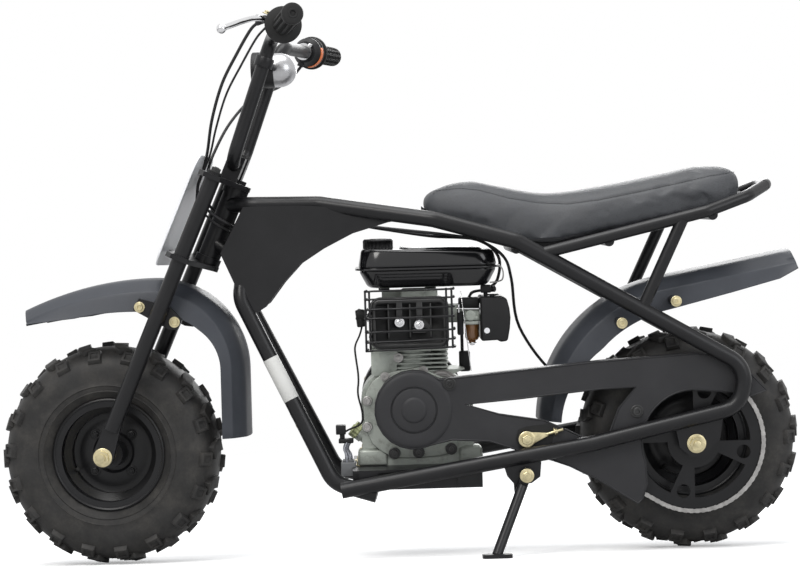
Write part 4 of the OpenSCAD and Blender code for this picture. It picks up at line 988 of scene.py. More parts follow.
REAR_END = 79.6
rear = arc_stations(-463, 24, 240, 3, REAR_END, 30)
rear += straight(rear[-1], -219 * sin(radians(REAR_END)), 219 * cos(radians(REAR_END)), 14)
rear_skirts = [(-638, 8), (-606, 20), (-526, 26), (-426, 32), (-356, 34), (-286, 34), (-246, 24),
               (-223, 14)]
settle(fender(rear, rear_skirts), "rear_fender_shell", fender_plastic, stands_for=("rear_fender",))

# %% [markdown]
# Low round-headed bolts hold the fenders to their brackets and stays. Each sits on the
# outer face of the skirt, with a washer under it.

# %% Fender bolts
def round_bolts(spots, y):
    """Round-headed bolts on both sides, y millimetres out."""
    return join([hex_bolt(at(x, h, side * y), (0, side, 0), 0.010, 0.004, socket=True)
                 for x, h in spots for side in (-1, 1)])


settle(round_bolts([(403, 236), (348, 211)], 86.5), "front_fender_bolts", zinc, "fork", where=TURNED)
settle(round_bolts([(-352, 194), (-438, 226)], 122), "rear_fender_bolts", zinc)
print("fenders bolted")

# %% [markdown]
# ## Seat
#
# The seat is a foam pad under vinyl, tall at the back and pulled tight over the pan, with
# one sewn line along each side. Foam under a cover bulges between its edges. A cloth
# simulation with air pressure inside gives just that: the pad starts a little small, is
# blown up for twenty frames, and may move only a few millimetres. The sewn line comes
# afterwards, because the remesh before the simulation would erase it.

# %% The pad before it is filled
SEAT = [(-44, 396, 386, 30), (-54, 412, 378, 52), (-76, 422, 368, 64), (-112, 425, 354, 74),
        (-172, 411, 331, 84), (-246, 398, 322, 90), (-336, 407, 338, 92), (-418, 421, 354, 91),
        (-480, 433, 366, 87), (-524, 441, 375, 80), (-548, 434, 386, 66), (-558, 416, 396, 46)]


def seat_row(t):
    """Station at a place between the rows of the table, on a smooth line."""
    i = min(int(t), len(SEAT) - 2)
    u = t - i
    p = [SEAT[max(0, min(len(SEAT) - 1, k))] for k in (i - 1, i, i + 1, i + 2)]
    return [0.5 * ((2 * b) + (c - a) * u + (2 * a - 5 * b + 4 * c - d) * u * u
                   + (3 * b - a - 3 * c + d) * u ** 3) for a, b, c, d in zip(*p)]


# The pad starts smaller by an inset; its section is a circle made squarer by a power
INSET, SQUARENESS, ROWS, ROUND = 4.0, 0.62, 56, 48
SEAT_FRONT, SEAT_BACK = SEAT[0][0], SEAT[-1][0]
columns = []
for k in range(ROWS):
    x, top_h, edge_h, w = seat_row(k * (len(SEAT) - 1) / (ROWS - 1))
    x = max(SEAT_BACK + INSET, min(SEAT_FRONT - INSET, x))
    ring = []
    for j in range(ROUND + 1):
        a = 2 * pi * j / ROUND
        c, s = cos(a), sin(a)
        y = (w - INSET) * (1 if c > 0 else -1) * abs(c) ** SQUARENESS
        rise = top_h - INSET - edge_h
        low = edge_h + 1.5
        h = low + rise * s ** SQUARENESS if s > 0 else low - 0.5 * abs(s)
        ring.append(at(x, h, y))
    columns.append(ring)
pad = bent_grid(columns)
edit(pad)
bpy.ops.mesh.select_all(action="SELECT")
bpy.ops.mesh.remove_doubles(threshold=0.00005)
bpy.ops.mesh.select_all(action="DESELECT")
bpy.ops.mesh.select_mode(type="EDGE")
bpy.ops.mesh.select_non_manifold(extend=False, use_wire=False, use_boundary=True,
                                 use_multi_face=False, use_non_contiguous=False, use_verts=False)
bpy.ops.mesh.edge_face_add()
even_out(pad)
modify(pad, "REMESH", mode="VOXEL", voxel_size=0.005)
print("pad:", len(pad.data.vertices), "points")

# %% Filling it
FILL_FRAMES, LIMIT = 20, 0.006
start = [v.co.copy() for v in pad.data.vertices]
take(pad)
cloth = pad.modifiers.new("cover", "CLOTH")
cloth.settings.use_pressure = True
cloth.settings.uniform_pressure_force = 4.0
cloth.settings.effector_weights.gravity = 0.0
cloth.settings.quality = 5
for f in range(1, FILL_FRAMES + 1):
    scene.frame_set(f)
bpy.ops.object.modifier_apply(modifier=cloth.name)
scene.frame_set(1)
for v, p in zip(pad.data.vertices, start):
    move = v.co - p
    if move.length > LIMIT:
        v.co = p + move * (LIMIT / move.length)
# The pan keeps the underside where it is
pan_line = [(x, edge_h) for x, _, edge_h, _ in SEAT]
for v in pad.data.vertices:
    v.co.z = max(v.co.z, AXLE + (between(pan_line, v.co.x / MM) + 0.4) * MM)
modify(pad, "SUBSURF", levels=1, render_levels=1)

# %% [markdown]
# The cover is sewn along a line below the top. The thread pulls the vinyl into a shallow
# groove, and the stitches lie in it, one after another. The line is given by height
# along the seat, and a ray from the side finds the surface there.

# %% The sewn line
SEAM = [(-545, 426.5), (-502, 421), (-453, 411), (-389, 399), (-325, 388), (-277, 383),
        (-230, 386), (-183, 395), (-136, 409), (-105, 413), (-67, 409.5), (-57, 396)]


# Ends of the groove and of the stitches, the groove's half width, its depth and the stitches' step
GROOVE_BACK, GROOVE_FRONT, STITCH_BACK, STITCH_FRONT = -553, -62, -551, -64.0
GROOVE_HALF, GROOVE_DEEP, STITCH_STEP, STITCH_REACH = 5, 0.0016, 5.2, 3
for v in pad.data.vertices:
    x_mm, h_mm = v.co.x / MM, (v.co.z - AXLE) / MM
    if GROOVE_BACK < x_mm < GROOVE_FRONT and abs(v.co.y) > 0.035:
        d = abs(h_mm - between(SEAM, x_mm))
        if d < GROOVE_HALF:
            v.co.y -= GROOVE_DEEP * (1 - d / GROOVE_HALF) ** 2 * (1 if v.co.y > 0 else -1)
smooth(pad, 60)
tree_of_pad = BVHTree.FromPolygons([v.co for v in pad.data.vertices],
                                   [p.vertices[:] for p in pad.data.polygons])
stitch = primitive("cylinder", (0, 0, 0), (0, pi / 2, 0), vertices=6, radius=0.0006, depth=0.0042)
bevel(stitch, 0.0003, 1)


def on_pad(x_mm, side):
    """Where a ray from one side meets the pad on the seam's line, and the normal there."""
    return tree_of_pad.ray_cast(at(x_mm, between(SEAM, x_mm), side * 200), Vector((0, -side, 0)))[:2]


spots = []
for side in (-1, 1):
    x_mm = STITCH_FRONT
    while x_mm > STITCH_BACK:
        hit, normal = on_pad(x_mm, side)
        if hit:
            way = (on_pad(x_mm - STITCH_REACH, side)[0] or hit) - hit
            d = way.normalized() if way.length > 1e-6 else Vector((-1, 0, 0))
            q = d.to_track_quat("X", "Z").to_matrix().to_4x4()
            spots.append(Matrix.Translation(hit + normal * 0.0002) @ q)
        x_mm -= STITCH_STEP
stitches = repeat(stitch, spots)
print(len(spots), "stitches")
settle(pad, "seat_cover", vinyl, stands_for=("seat",))
thread = finish("dark_thread", (0.03, 0.031, 0.034), 0.7, bump=0.3, bump_scale=2500)
settle(stitches, "seat_stitches", thread)

# %% [markdown]
# ## The cover of the drive and the tensioner
#
# The cover stays as it is, a thin pan with an arm above and below the chain. Its edges
# get a rolled rim that catches the light, and its round end a pressed ring with a dome.
# A listed outline becomes a face, and the face is extruded to a plate.

# %% Plates and bars
def cutout(outline, y0, y1, width=0.0008, segments=2):
    """Plate cut to an outline of (x, h) millimetres, from y0 to y1 across the machine."""
    hands_off()
    n = len(outline)
    o = raw("outline", [at(x, h, y0) for x, h in outline], [(i, (i + 1) % n) for i in range(n)])
    edit(o, "VERT")
    bpy.ops.mesh.select_all(action="SELECT")
    bpy.ops.mesh.edge_face_add()
    pull(0, (y1 - y0) * MM, 0)
    even_out(o)
    return smooth(bevel(o, width, segments)) if width else o


def bar(a, b, r, sides=16, width=0.0004):
    """Round bar between two points, with bevelled ends."""
    a, b = Vector(a), Vector(b)
    o = primitive("cylinder", (a + b) / 2, (b - a).to_track_quat("Z", "Y").to_euler(),
                  vertices=sides, radius=r, depth=(b - a).length)
    return smooth(bevel(o, width, 2) if width else o, 40)


def between_corners(low, high):
    a, b = at(*low), at(*high)
    return block([min(p) for p in zip(a, b)], [max(p) for p in zip(a, b)])


def box(low, high, width=0.001, segments=2):
    """Bevelled box between two corners (x, h, y) in millimetres."""
    return smooth(bevel(between_corners(low, high), width, segments))


def turned(profile, x, h, y, steps=48):
    """Turned piece of (radius, distance) millimetres, standing off to the left at y."""
    return spun(in_mm(profile), steps, ACROSS, at(x, h, y))


def bolts_at(spots, y, *size):
    """Bolt heads facing left, y millimetres out."""
    return [hex_bolt(at(x, h, y), LEFT, *size) for x, h in spots]


def arc(*line):
    """Points of arc_stations without their directions."""
    return [station[:2] for station in arc_stations(*line)]


def rounded(x0, h0, x1, h1, r, n=5):
    """Outline of a rectangle with rounded corners."""
    corners = [(x1 - r, h1 - r, 0), (x0 + r, h1 - r, 90), (x0 + r, h0 + r, 180), (x1 - r, h0 + r, 270)]
    return [point for x, h, a in corners for point in arc(x, h, r, a, a + 90, n)]


# %% Rolled rim, pressed ring and bolts of the chain cover
GUARD_Y = 99
CRANK_MM, IDLER_MM = (-22, 64), (-199, 13)
guard_outline = (arc(*CRANK_MM, 63, 105, -115, 14)
                 + [(-82, 14), (-140, 10), (-169, 0), (-203, -12), (-239, -23), (-266, -33),
                    (-314, -58), (-373, -96), (-382, -88), (-390, -64)]
                 + arc(-466, 0, 83, -20, 88, 12)
                 + [(-534, 76), (-558, 70), (-583, 80), (-550, 116), (-506, 136), (-471, 142),
                    (-318, 134), (-64, 112)])
slot = [(-104, 70), (-157, 55), (-228, 43), (-282, 18), (-306, 4), (-330, 20), (-345, 58),
        (-373, 90), (-318, 88), (-188, 76)]


def drawn_in(outline, d):
    """Outline moved inwards by d millimetres, for a rim that stays on the plate."""
    n, moved = len(outline), []
    area = sum(a[0] * b[1] - b[0] * a[1] for a, b in zip(outline, outline[1:] + outline[:1]))
    side = 1 if area > 0 else -1
    for i, (x, h) in enumerate(outline):
        (ax, ah), (bx, bh) = outline[i - 1], outline[(i + 1) % n]
        t = Vector((bx - ax, bh - ah)).normalized()
        moved.append((x - side * t.y * d, h + side * t.x * d))
    return moved


guard_plastic = finish("charcoal_guard_plastic", (0.028, 0.028, 0.030), 0.5, vary=0.05, bump=0.2,
                       bump_scale=1200, shine=0.25)
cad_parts["chain_guard"].data.materials[0] = guard_plastic
rims = []
for outline, step in ((guard_outline, 1.6), (slot, -1.6)):
    path = [at(x, h, GUARD_Y - 0.9) for x, h in drawn_in(outline, step)]
    rims.append(tube(path, 0.0017, 10, False, True))
rim_piece = settle(rims, "chain_cover_rim", guard_plastic)
pressing = turned([(60.5, -0.6), (60.5, 0.3), (58, 2.2), (54, 3.1), (39, 3.4), (37.5, 3.2), (36.8, 1.2),
                (35.2, 1.2), (34.4, 3.6), (33, 4.2), (22, 4.4), (20.5, 4.6), (18.5, 6.6), (16, 7.4),
                (0, 7.8), (0, -0.6)], *CRANK_MM, GUARD_Y)
settle(pressing, "chain_cover_dome", guard_plastic)
dark_steel = finish("blackened_steel", (0.05, 0.05, 0.05), 0.38, metallic=0.8, vary=0.1, bump=0.1)
covers = bolts_at([(-79, 104), (-375, 52)], GUARD_Y, 0.012, 0.006, True, True)
settle(covers, "chain_cover_bolts", dark_steel)
print("chain cover:", len(rim_piece.data.polygons), "faces in its rims")

# %% Tensioner: slotted arm, roller bolt and nut
# Painted shadow: a thin sheet of black rubber, darker than the cover, stands in for the shaded opening of
# the tensioner's slot
slot_shadow_sheet = cutout([(-186, 0), (-182, 14), (-186, 28), (-198, 33), (-240, 37), (-242, 34), (-240, 8),
                 (-236, 4), (-206, -5)], GUARD_Y + 0.1, GUARD_Y + 0.9, 0.0002, 1)
arm = cutout([(-192, 22), (-200, 24.5), (-218, 23.5), (-233, 22.5), (-233, 17.5), (-218, 10), (-202, 1.5),
              (-192, 4), (-187, 13)], GUARD_Y + 1.5, GUARD_Y + 5, 0.0008)
screw = bar(at(-230, 20, GUARD_Y + 3.2), at(-257, 27, GUARD_Y + 3.2), 0.0024, 16)
washer = turned([(0, 0), (12.5, 0), (13, 0.6), (13, 1.8), (12, 2.4), (0, 2.4)], *IDLER_MM, GUARD_Y + 5)
head = hex_bolt(at(*IDLER_MM, GUARD_Y + 7.4), LEFT, 0.015, 0.0065, False)
nut = hex_bolt(at(-243, 23.4, GUARD_Y + 3.2), (-0.966, 0, 0.25), 0.008, 0.004)
shaft = bar(at(*IDLER_MM, 76), at(*IDLER_MM, GUARD_Y + 6), 0.0058)
roller = turned([(5.8, -5), (9, -5), (11, -4), (11, -2.6), (9.6, -1.4), (9.6, 1.4), (11, 2.6), (11, 4),
                 (9, 5), (5.8, 5)], *IDLER_MM, 86, 36)
settle([washer, head, nut, shaft, arm, screw], "tensioner_eye", zinc, stands_for=("chain_tensioner",))
# The black sheet of painted slot shadow goes with the frame
settle(slot_shadow_sheet, "tensioner_slot_shadow", hard_rubber)
settle(roller, "tensioner_roller", hard_rubber, stands_for=("chain_tensioner",))
print("tensioner done")

# %% [markdown]
# ## The engine
#
# A small air-cooled single sits open in the frame. From the left one sees the crankcase
# with its gasket and bolts, the finned barrel, a tin plate that guides the air, and the
# silencer in its wire cage. The castings' own solids stay, and the smaller pieces are
# set on and around them.

# %% Crankcase dressing: gasket, bosses, bolts, feet and the starter's ringed cover
CASE_Y = 38
gasket_path = [(19, 121), (34, 113), (46, 98), (55, 80), (58, 62), (57, 45), (53, 36), (50, 20)]
gasket = cutout(gasket_path + [(x - 3.5, h - 1.5) for x, h in reversed(gasket_path)], CASE_Y - 6,
                CASE_Y + 1.6, 0.0002, 1)
settle(gasket, "case_gasket", gasket_green)
flange = cutout([(12, 122), (28, 118), (42, 108), (53, 92), (60, 70), (60, 50), (56, 30), (46, 6),
                 (30, -8), (11, -18), (-24, -19), (-60, -17), (-88, -12), (-92, 2), (-86, 16), (-94, 40),
                 (-96, 64), (-90, 90), (-76, 108), (-50, 120), (-39, 130), (-20, 126)], CASE_Y, CASE_Y + 9,
                0.002, 3)
boss_spots = [(-39, 122), (22, 114), (52, 76), (53, 34), (10.6, -10), (-28.4, -9), (-81, -5)]
bosses = [turned([(0, 0), (8, 0), (8, 10), (7, 11), (0, 11)], x, h, CASE_Y, 24) for x, h in boss_spots]
rib = turned([(0, 9), (54, 9), (55, 10.5), (55, 12), (54, 13), (0, 13)], *CRANK_MM, CASE_Y, 64)
settle([flange, rib] + bosses, "crankcase_cover", alloy)
bolts = bolts_at(boss_spots[:4], CASE_Y + 11, 0.009, 0.005, True, True)
settle(bolts, "case_bolts", steel)
low_bolts = bolts_at(boss_spots[4:], CASE_Y + 11, 0.011, 0.006, True, True)
settle(low_bolts, "case_low_bolts", dark_steel)
rings = turned([(0, 0), (30, 0), (30, 4), (28.5, 5.5), (27, 4), (24.5, 4), (23, 6.5), (21, 6.5), (19.5, 4),
                (16, 4), (14.5, 7), (0, 7)], -68, 92, CASE_Y + 2, 48)
settle(rings, "ringed_cover", steel)
feet = []
for x0, x1 in ((22, 69), (-131, -94)):
    foot = box((x0, -29.8, 12), (x1, -4, 44), 0.004, 3)
    edit(foot)
    pick(foot, lambda c, n: n.z > 0.95)
    bpy.ops.mesh.inset(thickness=0.004)
    bpy.ops.transform.translate(value=(0, 0, 0.002))
    close(foot)
    feet.append(foot)
settle(feet, "engine_feet", alloy)
foot_bolts = [hex_bolt(at(x, -3, 28), UP, 0.010, 0.006) for x in (58, -106)]
settle(foot_bolts, "engine_foot_bolts", zinc)
print("crankcase:", len(bosses), "bosses,", len(bolts) + len(low_bolts) + len(foot_bolts), "bolts")

# %% Oil filler: a cast spout with a ribbed plastic cap
cap_cream = finish("pale_green_cap_plastic", (0.42, 0.45, 0.24), 0.45, vary=0.05, bump=0.1)
spout_a, spout_b = at(36, -2, 20), at(66, 22, 20)
spout = join([bar(spout_a, spout_b, 0.0105, 24, 0.0008),
              bar(at(60, 17, 20), at(67, 22.7, 20), 0.0125, 24)])
settle(spout, "oil_spout", alloy, stands_for=("oil_filler",))
cap = spun([(0, 0), (0.0128, 0), (0.0135, 0.001), (0.0135, 0.011), (0.0125, 0.0125), (0.006, 0.0128),
            (0.0055, 0.0145), (0, 0.0145)], 24)
edit(cap)
pick(cap, lambda c, n: abs(n.z) < 0.2 and 0.002 < c.z < 0.011 and hypot(c.x, c.y) > 0.012
     and every_other(c, 15))
press(-0.0007)
stood(close(cap), facing(at(67, 22.7, 20), spout_b - spout_a))
settle(cap, "oil_cap", cap_cream, stands_for=("oil_filler",))
print("oil filler done")

# %% Barrel dressing: air plate with its ear, head cover, spark plug with its cap
plate = cutout([(44, 159), (44, 118), (38, 114), (8, 118), (3, 124), (3, 132), (-2, 136), (-5, 143),
                (-2, 150), (3, 154), (3, 159)], 39, 41.5, 0.0006)
settle(plate, "air_plate", alloy)
ear_bolt = hex_bolt(at(0, 143.3, 41.5), LEFT, 0.009, 0.005)
settle(ear_bolt, "air_plate_bolt", steel)
cover = cutout(rounded(-66, 232, -6, 254, 6), 8, 30, 0.003, 3)
settle(cover, "head_cover", alloy)
plug = spun([(0, 0), (0.0065, 0), (0.0065, 0.004), (0.009, 0.006), (0.009, 0.010), (0.0045, 0.0125),
             (0.0045, 0.021), (0.003, 0.023), (0, 0.023)], 24)
settle(stood(plug, facing(at(37, 206, -6), (1, 0, 0.25))), "spark_plug", chrome)
boot = join([bar(at(50, 209, -6), at(66, 213, -6), 0.0095, 20, 0.002),
             bar(at(61, 220, -6), at(58, 192, -6), 0.0075, 20, 0.002)])
settle(boot, "plug_cap", hard_rubber)
print("barrel dressing done")

# %% Silencer: a box of pressed sheet with ribs, recesses and two studs
shell = cutout(rounded(-80, 161, 42, 240, 13), 40, 84, 0.005, 4)
edit(shell)
pick(shell, lambda c, n: n.y > 0.95)
bpy.ops.mesh.inset(thickness=0.007)
bpy.ops.transform.translate(value=(0, -0.0018, 0))
close(shell)
pressed = [shell]
pressed += [box((x - 1.2, 178, 82), (x + 1.2, 232, 84.4), 0.0006) for x in (14.4, -19.7, -52.7)]
pressed += [box((x - 5, low, 81), (x + 5, 236, 83.8), 0.0015) for x, low in ((-3, 204), (-35, 200))]
pressed += [box((-44, h - 1, 81), (-24, h + 1, 83.6), 0.0005) for h in (186, 190, 194)]
seam = cutout(rounded(-82, 159, 44, 242, 15), 60, 62.4, 0.0006)
pipe = box((-40, 188, 14), (10, 216, 41), 0.004, 3)
settle(pressed + [seam, pipe], "silencer_box", dark_steel, stands_for=("muffler",))
studs = bolts_at([(-3.1, 202.7), (-34.1, 198)], 83.4, 0.009, 0.005)
settle(studs, "silencer_studs", chrome, stands_for=("muffler",))
print("silencer:", len(pressed), "pressed parts")

# %% Wire cage round the silencer: bent bars, welded to uprights
WIRE_R, CAGE_Y = 0.0018, 92
cage = []
for left_h, right_h in ((253, 254), (240, 241), (224, 226), (209.6, 211), (188, 190), (172, 175),
                        (158.6, 162)):
    slope = (right_h - left_h) / 143
    points = [at(48, left_h, 50), at(51, left_h, 76), at(51, left_h, 86), at(47, left_h, CAGE_Y),
              at(38, left_h + 1, CAGE_Y), at(0, left_h + 51 * slope, CAGE_Y), at(-80, right_h, CAGE_Y),
              at(-88, right_h, CAGE_Y - 2), at(-91, right_h, 84), at(-91, right_h, 50)]
    cage.append(tube(points, WIRE_R, 8))
for x in (50.5, 44, -86.5, -78):
    top = 256 if x < 0 else 253
    low = 160 if x < 0 else 157
    cage.append(bar(at(x, low, CAGE_Y - 3.2), at(x, top, CAGE_Y - 3.2), WIRE_R, 10, 0.0003))
for x, h in ((44, 181), (44, 218), (-78, 183), (-78, 220)):
    cage.append(bar(at(x, h, CAGE_Y - 3), at(x, h, 72), 0.0024, 10))
settle(cage, "silencer_cage", paint, stands_for=("muffler_guard",))
print("cage:", len(cage), "wires")

# %% [markdown]
# The tank is two pressed halves on a flange. Each half starts as a box whose upright
# corners are rounded, and one end face is scaled and tipped, so that the walls taper as
# drawn sheet does.

# %% Fuel tank, filler cap and fuel tap
def slab(low, high, corner, width=0.001, segments=2, taper=None, tip=0.0):
    """Box with rounded upright corners; its top or bottom face may be scaled and tipped."""
    a, b = at(*low), at(*high)
    o = between_corners(low, high)
    edit(o, "EDGE")
    pick(o, lambda c, d: abs(d.x) + abs(d.y) < 1e-6, "edges")
    bpy.ops.mesh.bevel(offset=corner, segments=7)
    bpy.ops.mesh.select_mode(type="FACE")
    bpy.ops.mesh.select_all(action="DESELECT")
    if taper:
        up, sx, sy = taper
        pick(o, lambda c, n: n.z * up > 0.95)
        bpy.ops.transform.resize(value=(sx, sy, 1))
        if tip:
            bpy.ops.transform.rotate(value=radians(tip), orient_axis="Y",
                                     center_override=(a + b) / 2 + Vector((0, 0, abs(b.z - a.z) / 2)))
    close(o)
    return smooth(bevel(o, width, segments), 30)


upper = slab((-163, 287, -84), (61, 316.5, 62), 0.034, 0.006, 4, (1, 0.95, 0.9), 1.7)
flute = slab((-140, 314, -66), (-4, 319, 44), 0.02, 0.002, 3, (1, 0.94, 0.9), 1.7)
lower = slab((-163, 256, -82), (61, 286, 60), 0.034, 0.007, 4, (-1, 0.86, 0.84))
flange = slab((-168, 285.2, -89), (66, 288.4, 67), 0.038, 0.0008, 2)
tank_feet = [box((x - 9, 248, -36), (x + 9, 258, -18), 0.001) for x in (-56, 20)]
settle([upper, flute, lower, flange] + tank_feet, "tank", tank_black, stands_for=("fuel_tank",))
neck = spun(in_mm([(0, 0), (20, 0), (20, 6), (0, 6)]), 32, place=at(28, 311, -10))
cap = spun(in_mm([(0, 0), (23.5, 0), (24.5, 1.5), (24.5, 14.5), (22.5, 17), (14, 17.6), (13, 17),
                  (0, 17)]), 48, place=at(28, 317, -10))
edit(cap)
grooves = pick(cap, lambda c, n: hypot(c.x, c.y) > 0.024 and abs(n.z) < 0.2 and every_other(c, 7.5))
press(-0.0009)
close(cap)
settle([cap, neck], "filler_cap", black_plastic, stands_for=("tank_cap",))
tap = [box((-153, 243, 10), (-136, 256, 24), 0.002), bar(at(-136, 249, 17), at(-160, 249, 17), 0.005),
       box((-161, 246, 14), (-156, 252, 27), 0.001), bar(at(-144, 244, 17), at(-144, 233, 17), 0.0035)]
settle(tap, "fuel_tap", black_plastic)
bridle = tube([at(-165, 288, 70), at(-170, 284, 70), at(-171, 268, 66), at(-166, 262, 58),
               at(-150, 261, 50)], 0.0012, 8)
settle(bridle, "tank_wire", steel)
print("tank:", grooves, "grooves round its cap")

# %% Carburettor: casting, amber bowl, choke plate, rods; and the air filter's box
casting = [box((-134, 198, -10), (-107, 217, 30), 0.003, 3), box((-108, 196, -14), (-80, 226, 12), 0.002),
           bar(at(-118, 208, 26), at(-118, 208, 36), 0.0085, 24),
           box((-131, 193, 2), (-108, 198.5, 33), 0.001), bar(at(-127, 204, 30), at(-127, 204, 35), 0.003),
           bar(at(-134, 212, 8), at(-136, 212, 8), 0.014, 32)]
settle(casting, "carburettor_body", alloy, stands_for=("carburettor",))
bowl = spun([(0, 0), (0.005, 0), (0.006, 0.003), (0.0095, 0.005), (0.0112, 0.009), (0.0118, 0.030),
             (0, 0.030)], 32, place=at(-120.5, 163, 18))
settle(bowl, "fuel_bowl", fuel_brown, stands_for=("carburettor",))
bowl_nut = hex_bolt(at(-120.5, 163.4, 18), (0, 0, -1), 0.008, 0.003)
rods = [bar(at(-96, 219.4, 34), at(-134.5, 218.3, 34), 0.0016, 12),
        bar(at(-102.8, 248, 40), at(-116.5, 119, 40), 0.0008, 8),
        bar(at(-99, 226, 34), at(-99, 213, 34), 0.0022, 12),
        bar(at(-134, 226, 30), at(-134, 210, 30), 0.002, 12)]
settle(rods + [bowl_nut], "carburettor_rods", chrome)
choke = [box((-107, 176, 6), (-97, 214, 26), 0.002), box((-134, 219, -6), (-100, 236, 20), 0.003),
         box((-118, 113, -34), (-100, 147, -20), 0.003), box((-108, 147, -32), (-103, 190, -22), 0.001)]
settle(choke, "choke_block", black_plastic, stands_for=("carburettor",))
hose = tube([at(-144, 236, 17), at(-144, 228, 16), at(-137, 222, 14), at(-130, 215, 12)], 0.003, 10)
settle(hose, "fuel_hose", hard_rubber)
filter_line = [(-134, 166), (-134, 238), (-168, 238), (-177, 234), (-181, 218), (-182.5, 203), (-181, 186),
               (-177, 165), (-166, 164), (-160, 167)]
can = cutout(filter_line, -50, 40, 0.004, 3)
lid = cutout(drawn_in(filter_line, 1.5), 40, 44.5, 0.003, 3)
clips = [box((-160, 236, 10), (-150, 241, 22), 0.001), box((-166, 236.5, -12), (-146, 240, 0), 0.001)]
settle([can, lid] + clips, "air_filter_box", black_plastic, stands_for=("air_filter",))
dot = turned([(0, 0), (4.6, 0), (4.6, 0.3), (0, 0.3)], -143.6, 183.3, 44.6, 32)
settle(dot, "blank_round_label", white_plate)
print("fuel side done")

# %% Starter on the right: slotted cover, centre cap and pull handle
def on_right(profile, x, h, y, steps=48):
    """Turned piece standing off to the right at y."""
    return spun(in_mm(profile), steps, (pi / 2, 0, 0), at(x, h, -y))


STARTER = (-22, 70)


def round_starter(r, angle):
    """Place (x, h) on a circle round the starter's middle."""
    return STARTER[0] + r * cos(angle), STARTER[1] + r * sin(angle)


drum = on_right([(0, 0), (81, 0), (84, 3), (84, 50), (80, 62), (71, 70), (69, 86), (66, 90), (30, 90),
                 (28, 87), (0, 87)], *STARTER, 47, 72)
edit(drum)
pick(drum, lambda c, n: n.z > 0.9 and 0.032 < hypot(c.x, c.y) and c.z > 0.08)
bpy.ops.mesh.inset(thickness=0.0012, use_individual=True)
pull(0, -0.002, 0)
close(drum)
SLOT_COUNT = 12
slots = []
for k in range(SLOT_COUNT):
    x, h = round_starter(38, 2 * pi * k / SLOT_COUNT)
    slots.append(box((x - 1.6, h - 1.6, -138), (x + 1.6, h + 1.6, -136.5), 0.0004))
cowl = box((-82, 104, -100), (38, 236, -47), 0.012, 4)
handle = [box((8, 136, -118), (34, 147, -106), 0.003, 3),
          bar(at(21, 136, -112), at(14, 118, -112), 0.0022)]
settle([drum, cowl], "starter_cover", black_plastic, stands_for=("recoil_housing",))
settle(handle + slots, "starter_handle", hard_rubber)
starter_bolts = [hex_bolt(at(*round_starter(76, radians(a)), -111), RIGHT, 0.010, 0.005)
                 for a in (20, 110, 200, 290)]
settle(starter_bolts, "starter_bolts", zinc)
print("starter:", len(slots), "slots")

# %% Electrics at the foot of the down tube: grey box, plugs and wires
grey_plastic = finish("grey_moulded_plastic", (0.16, 0.165, 0.17), 0.5, vary=0.08, bump=0.15, shine=0.3)
wire_grey = finish("pale_wire_sleeve", (0.33, 0.34, 0.38), 0.5, vary=0.2, vary_scale=60, bump=0.1)
coil = [box((73, -44, 30), (97, -22, 52), 0.002, 3), box((76, -22, 34), (94, -18, 48), 0.001)]
settle(coil, "relay_box", grey_plastic)
plugs = [box((88, 22, 26), (104, 37, 44), 0.0015), box((76, 8, 28), (100, 15, 46), 0.0015),
         box((90, 12, 30), (98, 24, 40), 0.001)]
settle(plugs, "wire_plugs", black_plastic)
wires = []
for k, (dx, dy) in enumerate(((0, 0), (5, 4), (10, -2), (3, 9), (8, 12))):
    wires.append(tube([at(80 + dx, -24, 36 + dy), at(78 + dx, -12, 38 + dy), at(88 + dx * 0.6, 0, 34 + dy),
                       at(80 + dx * 0.8, 9, 34 + dy)], 0.0016, 8))
settle(wires, "wire_bundle", wire_grey)
lead = tube([at(58, 192, -2), at(60, 182, 20), at(70, 165, 40), at(69, 150, 48), at(64, 112, 50),
             at(68, 88, 50), at(60, 60, 49), at(60, 38, 46), at(84, 30, 40), at(92, 24, 36)], 0.0016, 8)
settle(lead, "plug_lead", hard_rubber)
print("electrics:", len(wires), "wires")

# %% [markdown]
# ## Steering and controls
#
# These pieces are modelled in the fork's own coordinates, with z up the steering axis,
# and move with the fork. Grips are turned, then every other strip of their ribs is
# pressed in. The lever is bent like the cast one, with a ball at its end.

# %% Grips with flanges and end holes
BAR_END, BAR_KNEE = Vector((-26, 332, 746)), Vector((28, 66, 714))
ARM = (BAR_END - BAR_KNEE).normalized()


def along_arm(s, side=1, lift=(0, 0, 0)):
    """Point of a handlebar arm, s millimetres in from its end, in metres."""
    p = BAR_END - ARM * s + Vector(lift)
    return Vector((p.x, side * p.y, p.z)) * MM


def on_arm(profile, s, side=1, steps=48):
    """Turned piece round an arm, its height measured inwards from s."""
    inward = along_arm(1, side) - along_arm(0, side)
    return stood(spun(in_mm(profile), steps), facing(along_arm(s, side), inward))


ribs = []
for k in range(12):
    z = 5 + k * 8.6
    ribs += [(16.5, z), (16.5, z + 6.2), (15.3, z + 6.8), (15.3, z + 8)]
grip_line = ([(0, -2.4), (4, -2.4), (4.4, -4.6), (6.6, -4.9), (7.4, -4), (13, -4), (15.4, -3), (16.3, 0)]
             + ribs + [(16.5, 110), (25.5, 112), (28.3, 113.4), (28.3, 116.2), (26.5, 117.8),
                       (11.3, 117.8), (11.3, -1), (0, -1)])
for side, name in ((1, "grip_left"), (-1, "grip_right")):
    grip = on_arm(grip_line, 0, side)
    edit(grip)
    pick(grip, lambda c, n: abs(n.z) < 0.2 and hypot(c.x, c.y) > 0.0162 and 0.004 < c.z < 0.109
         and every_other(c, 15))
    press(-0.0009)
    close(grip)
    settle(grip, name, hard_rubber, "fork", ("grips",))
print("grips done")

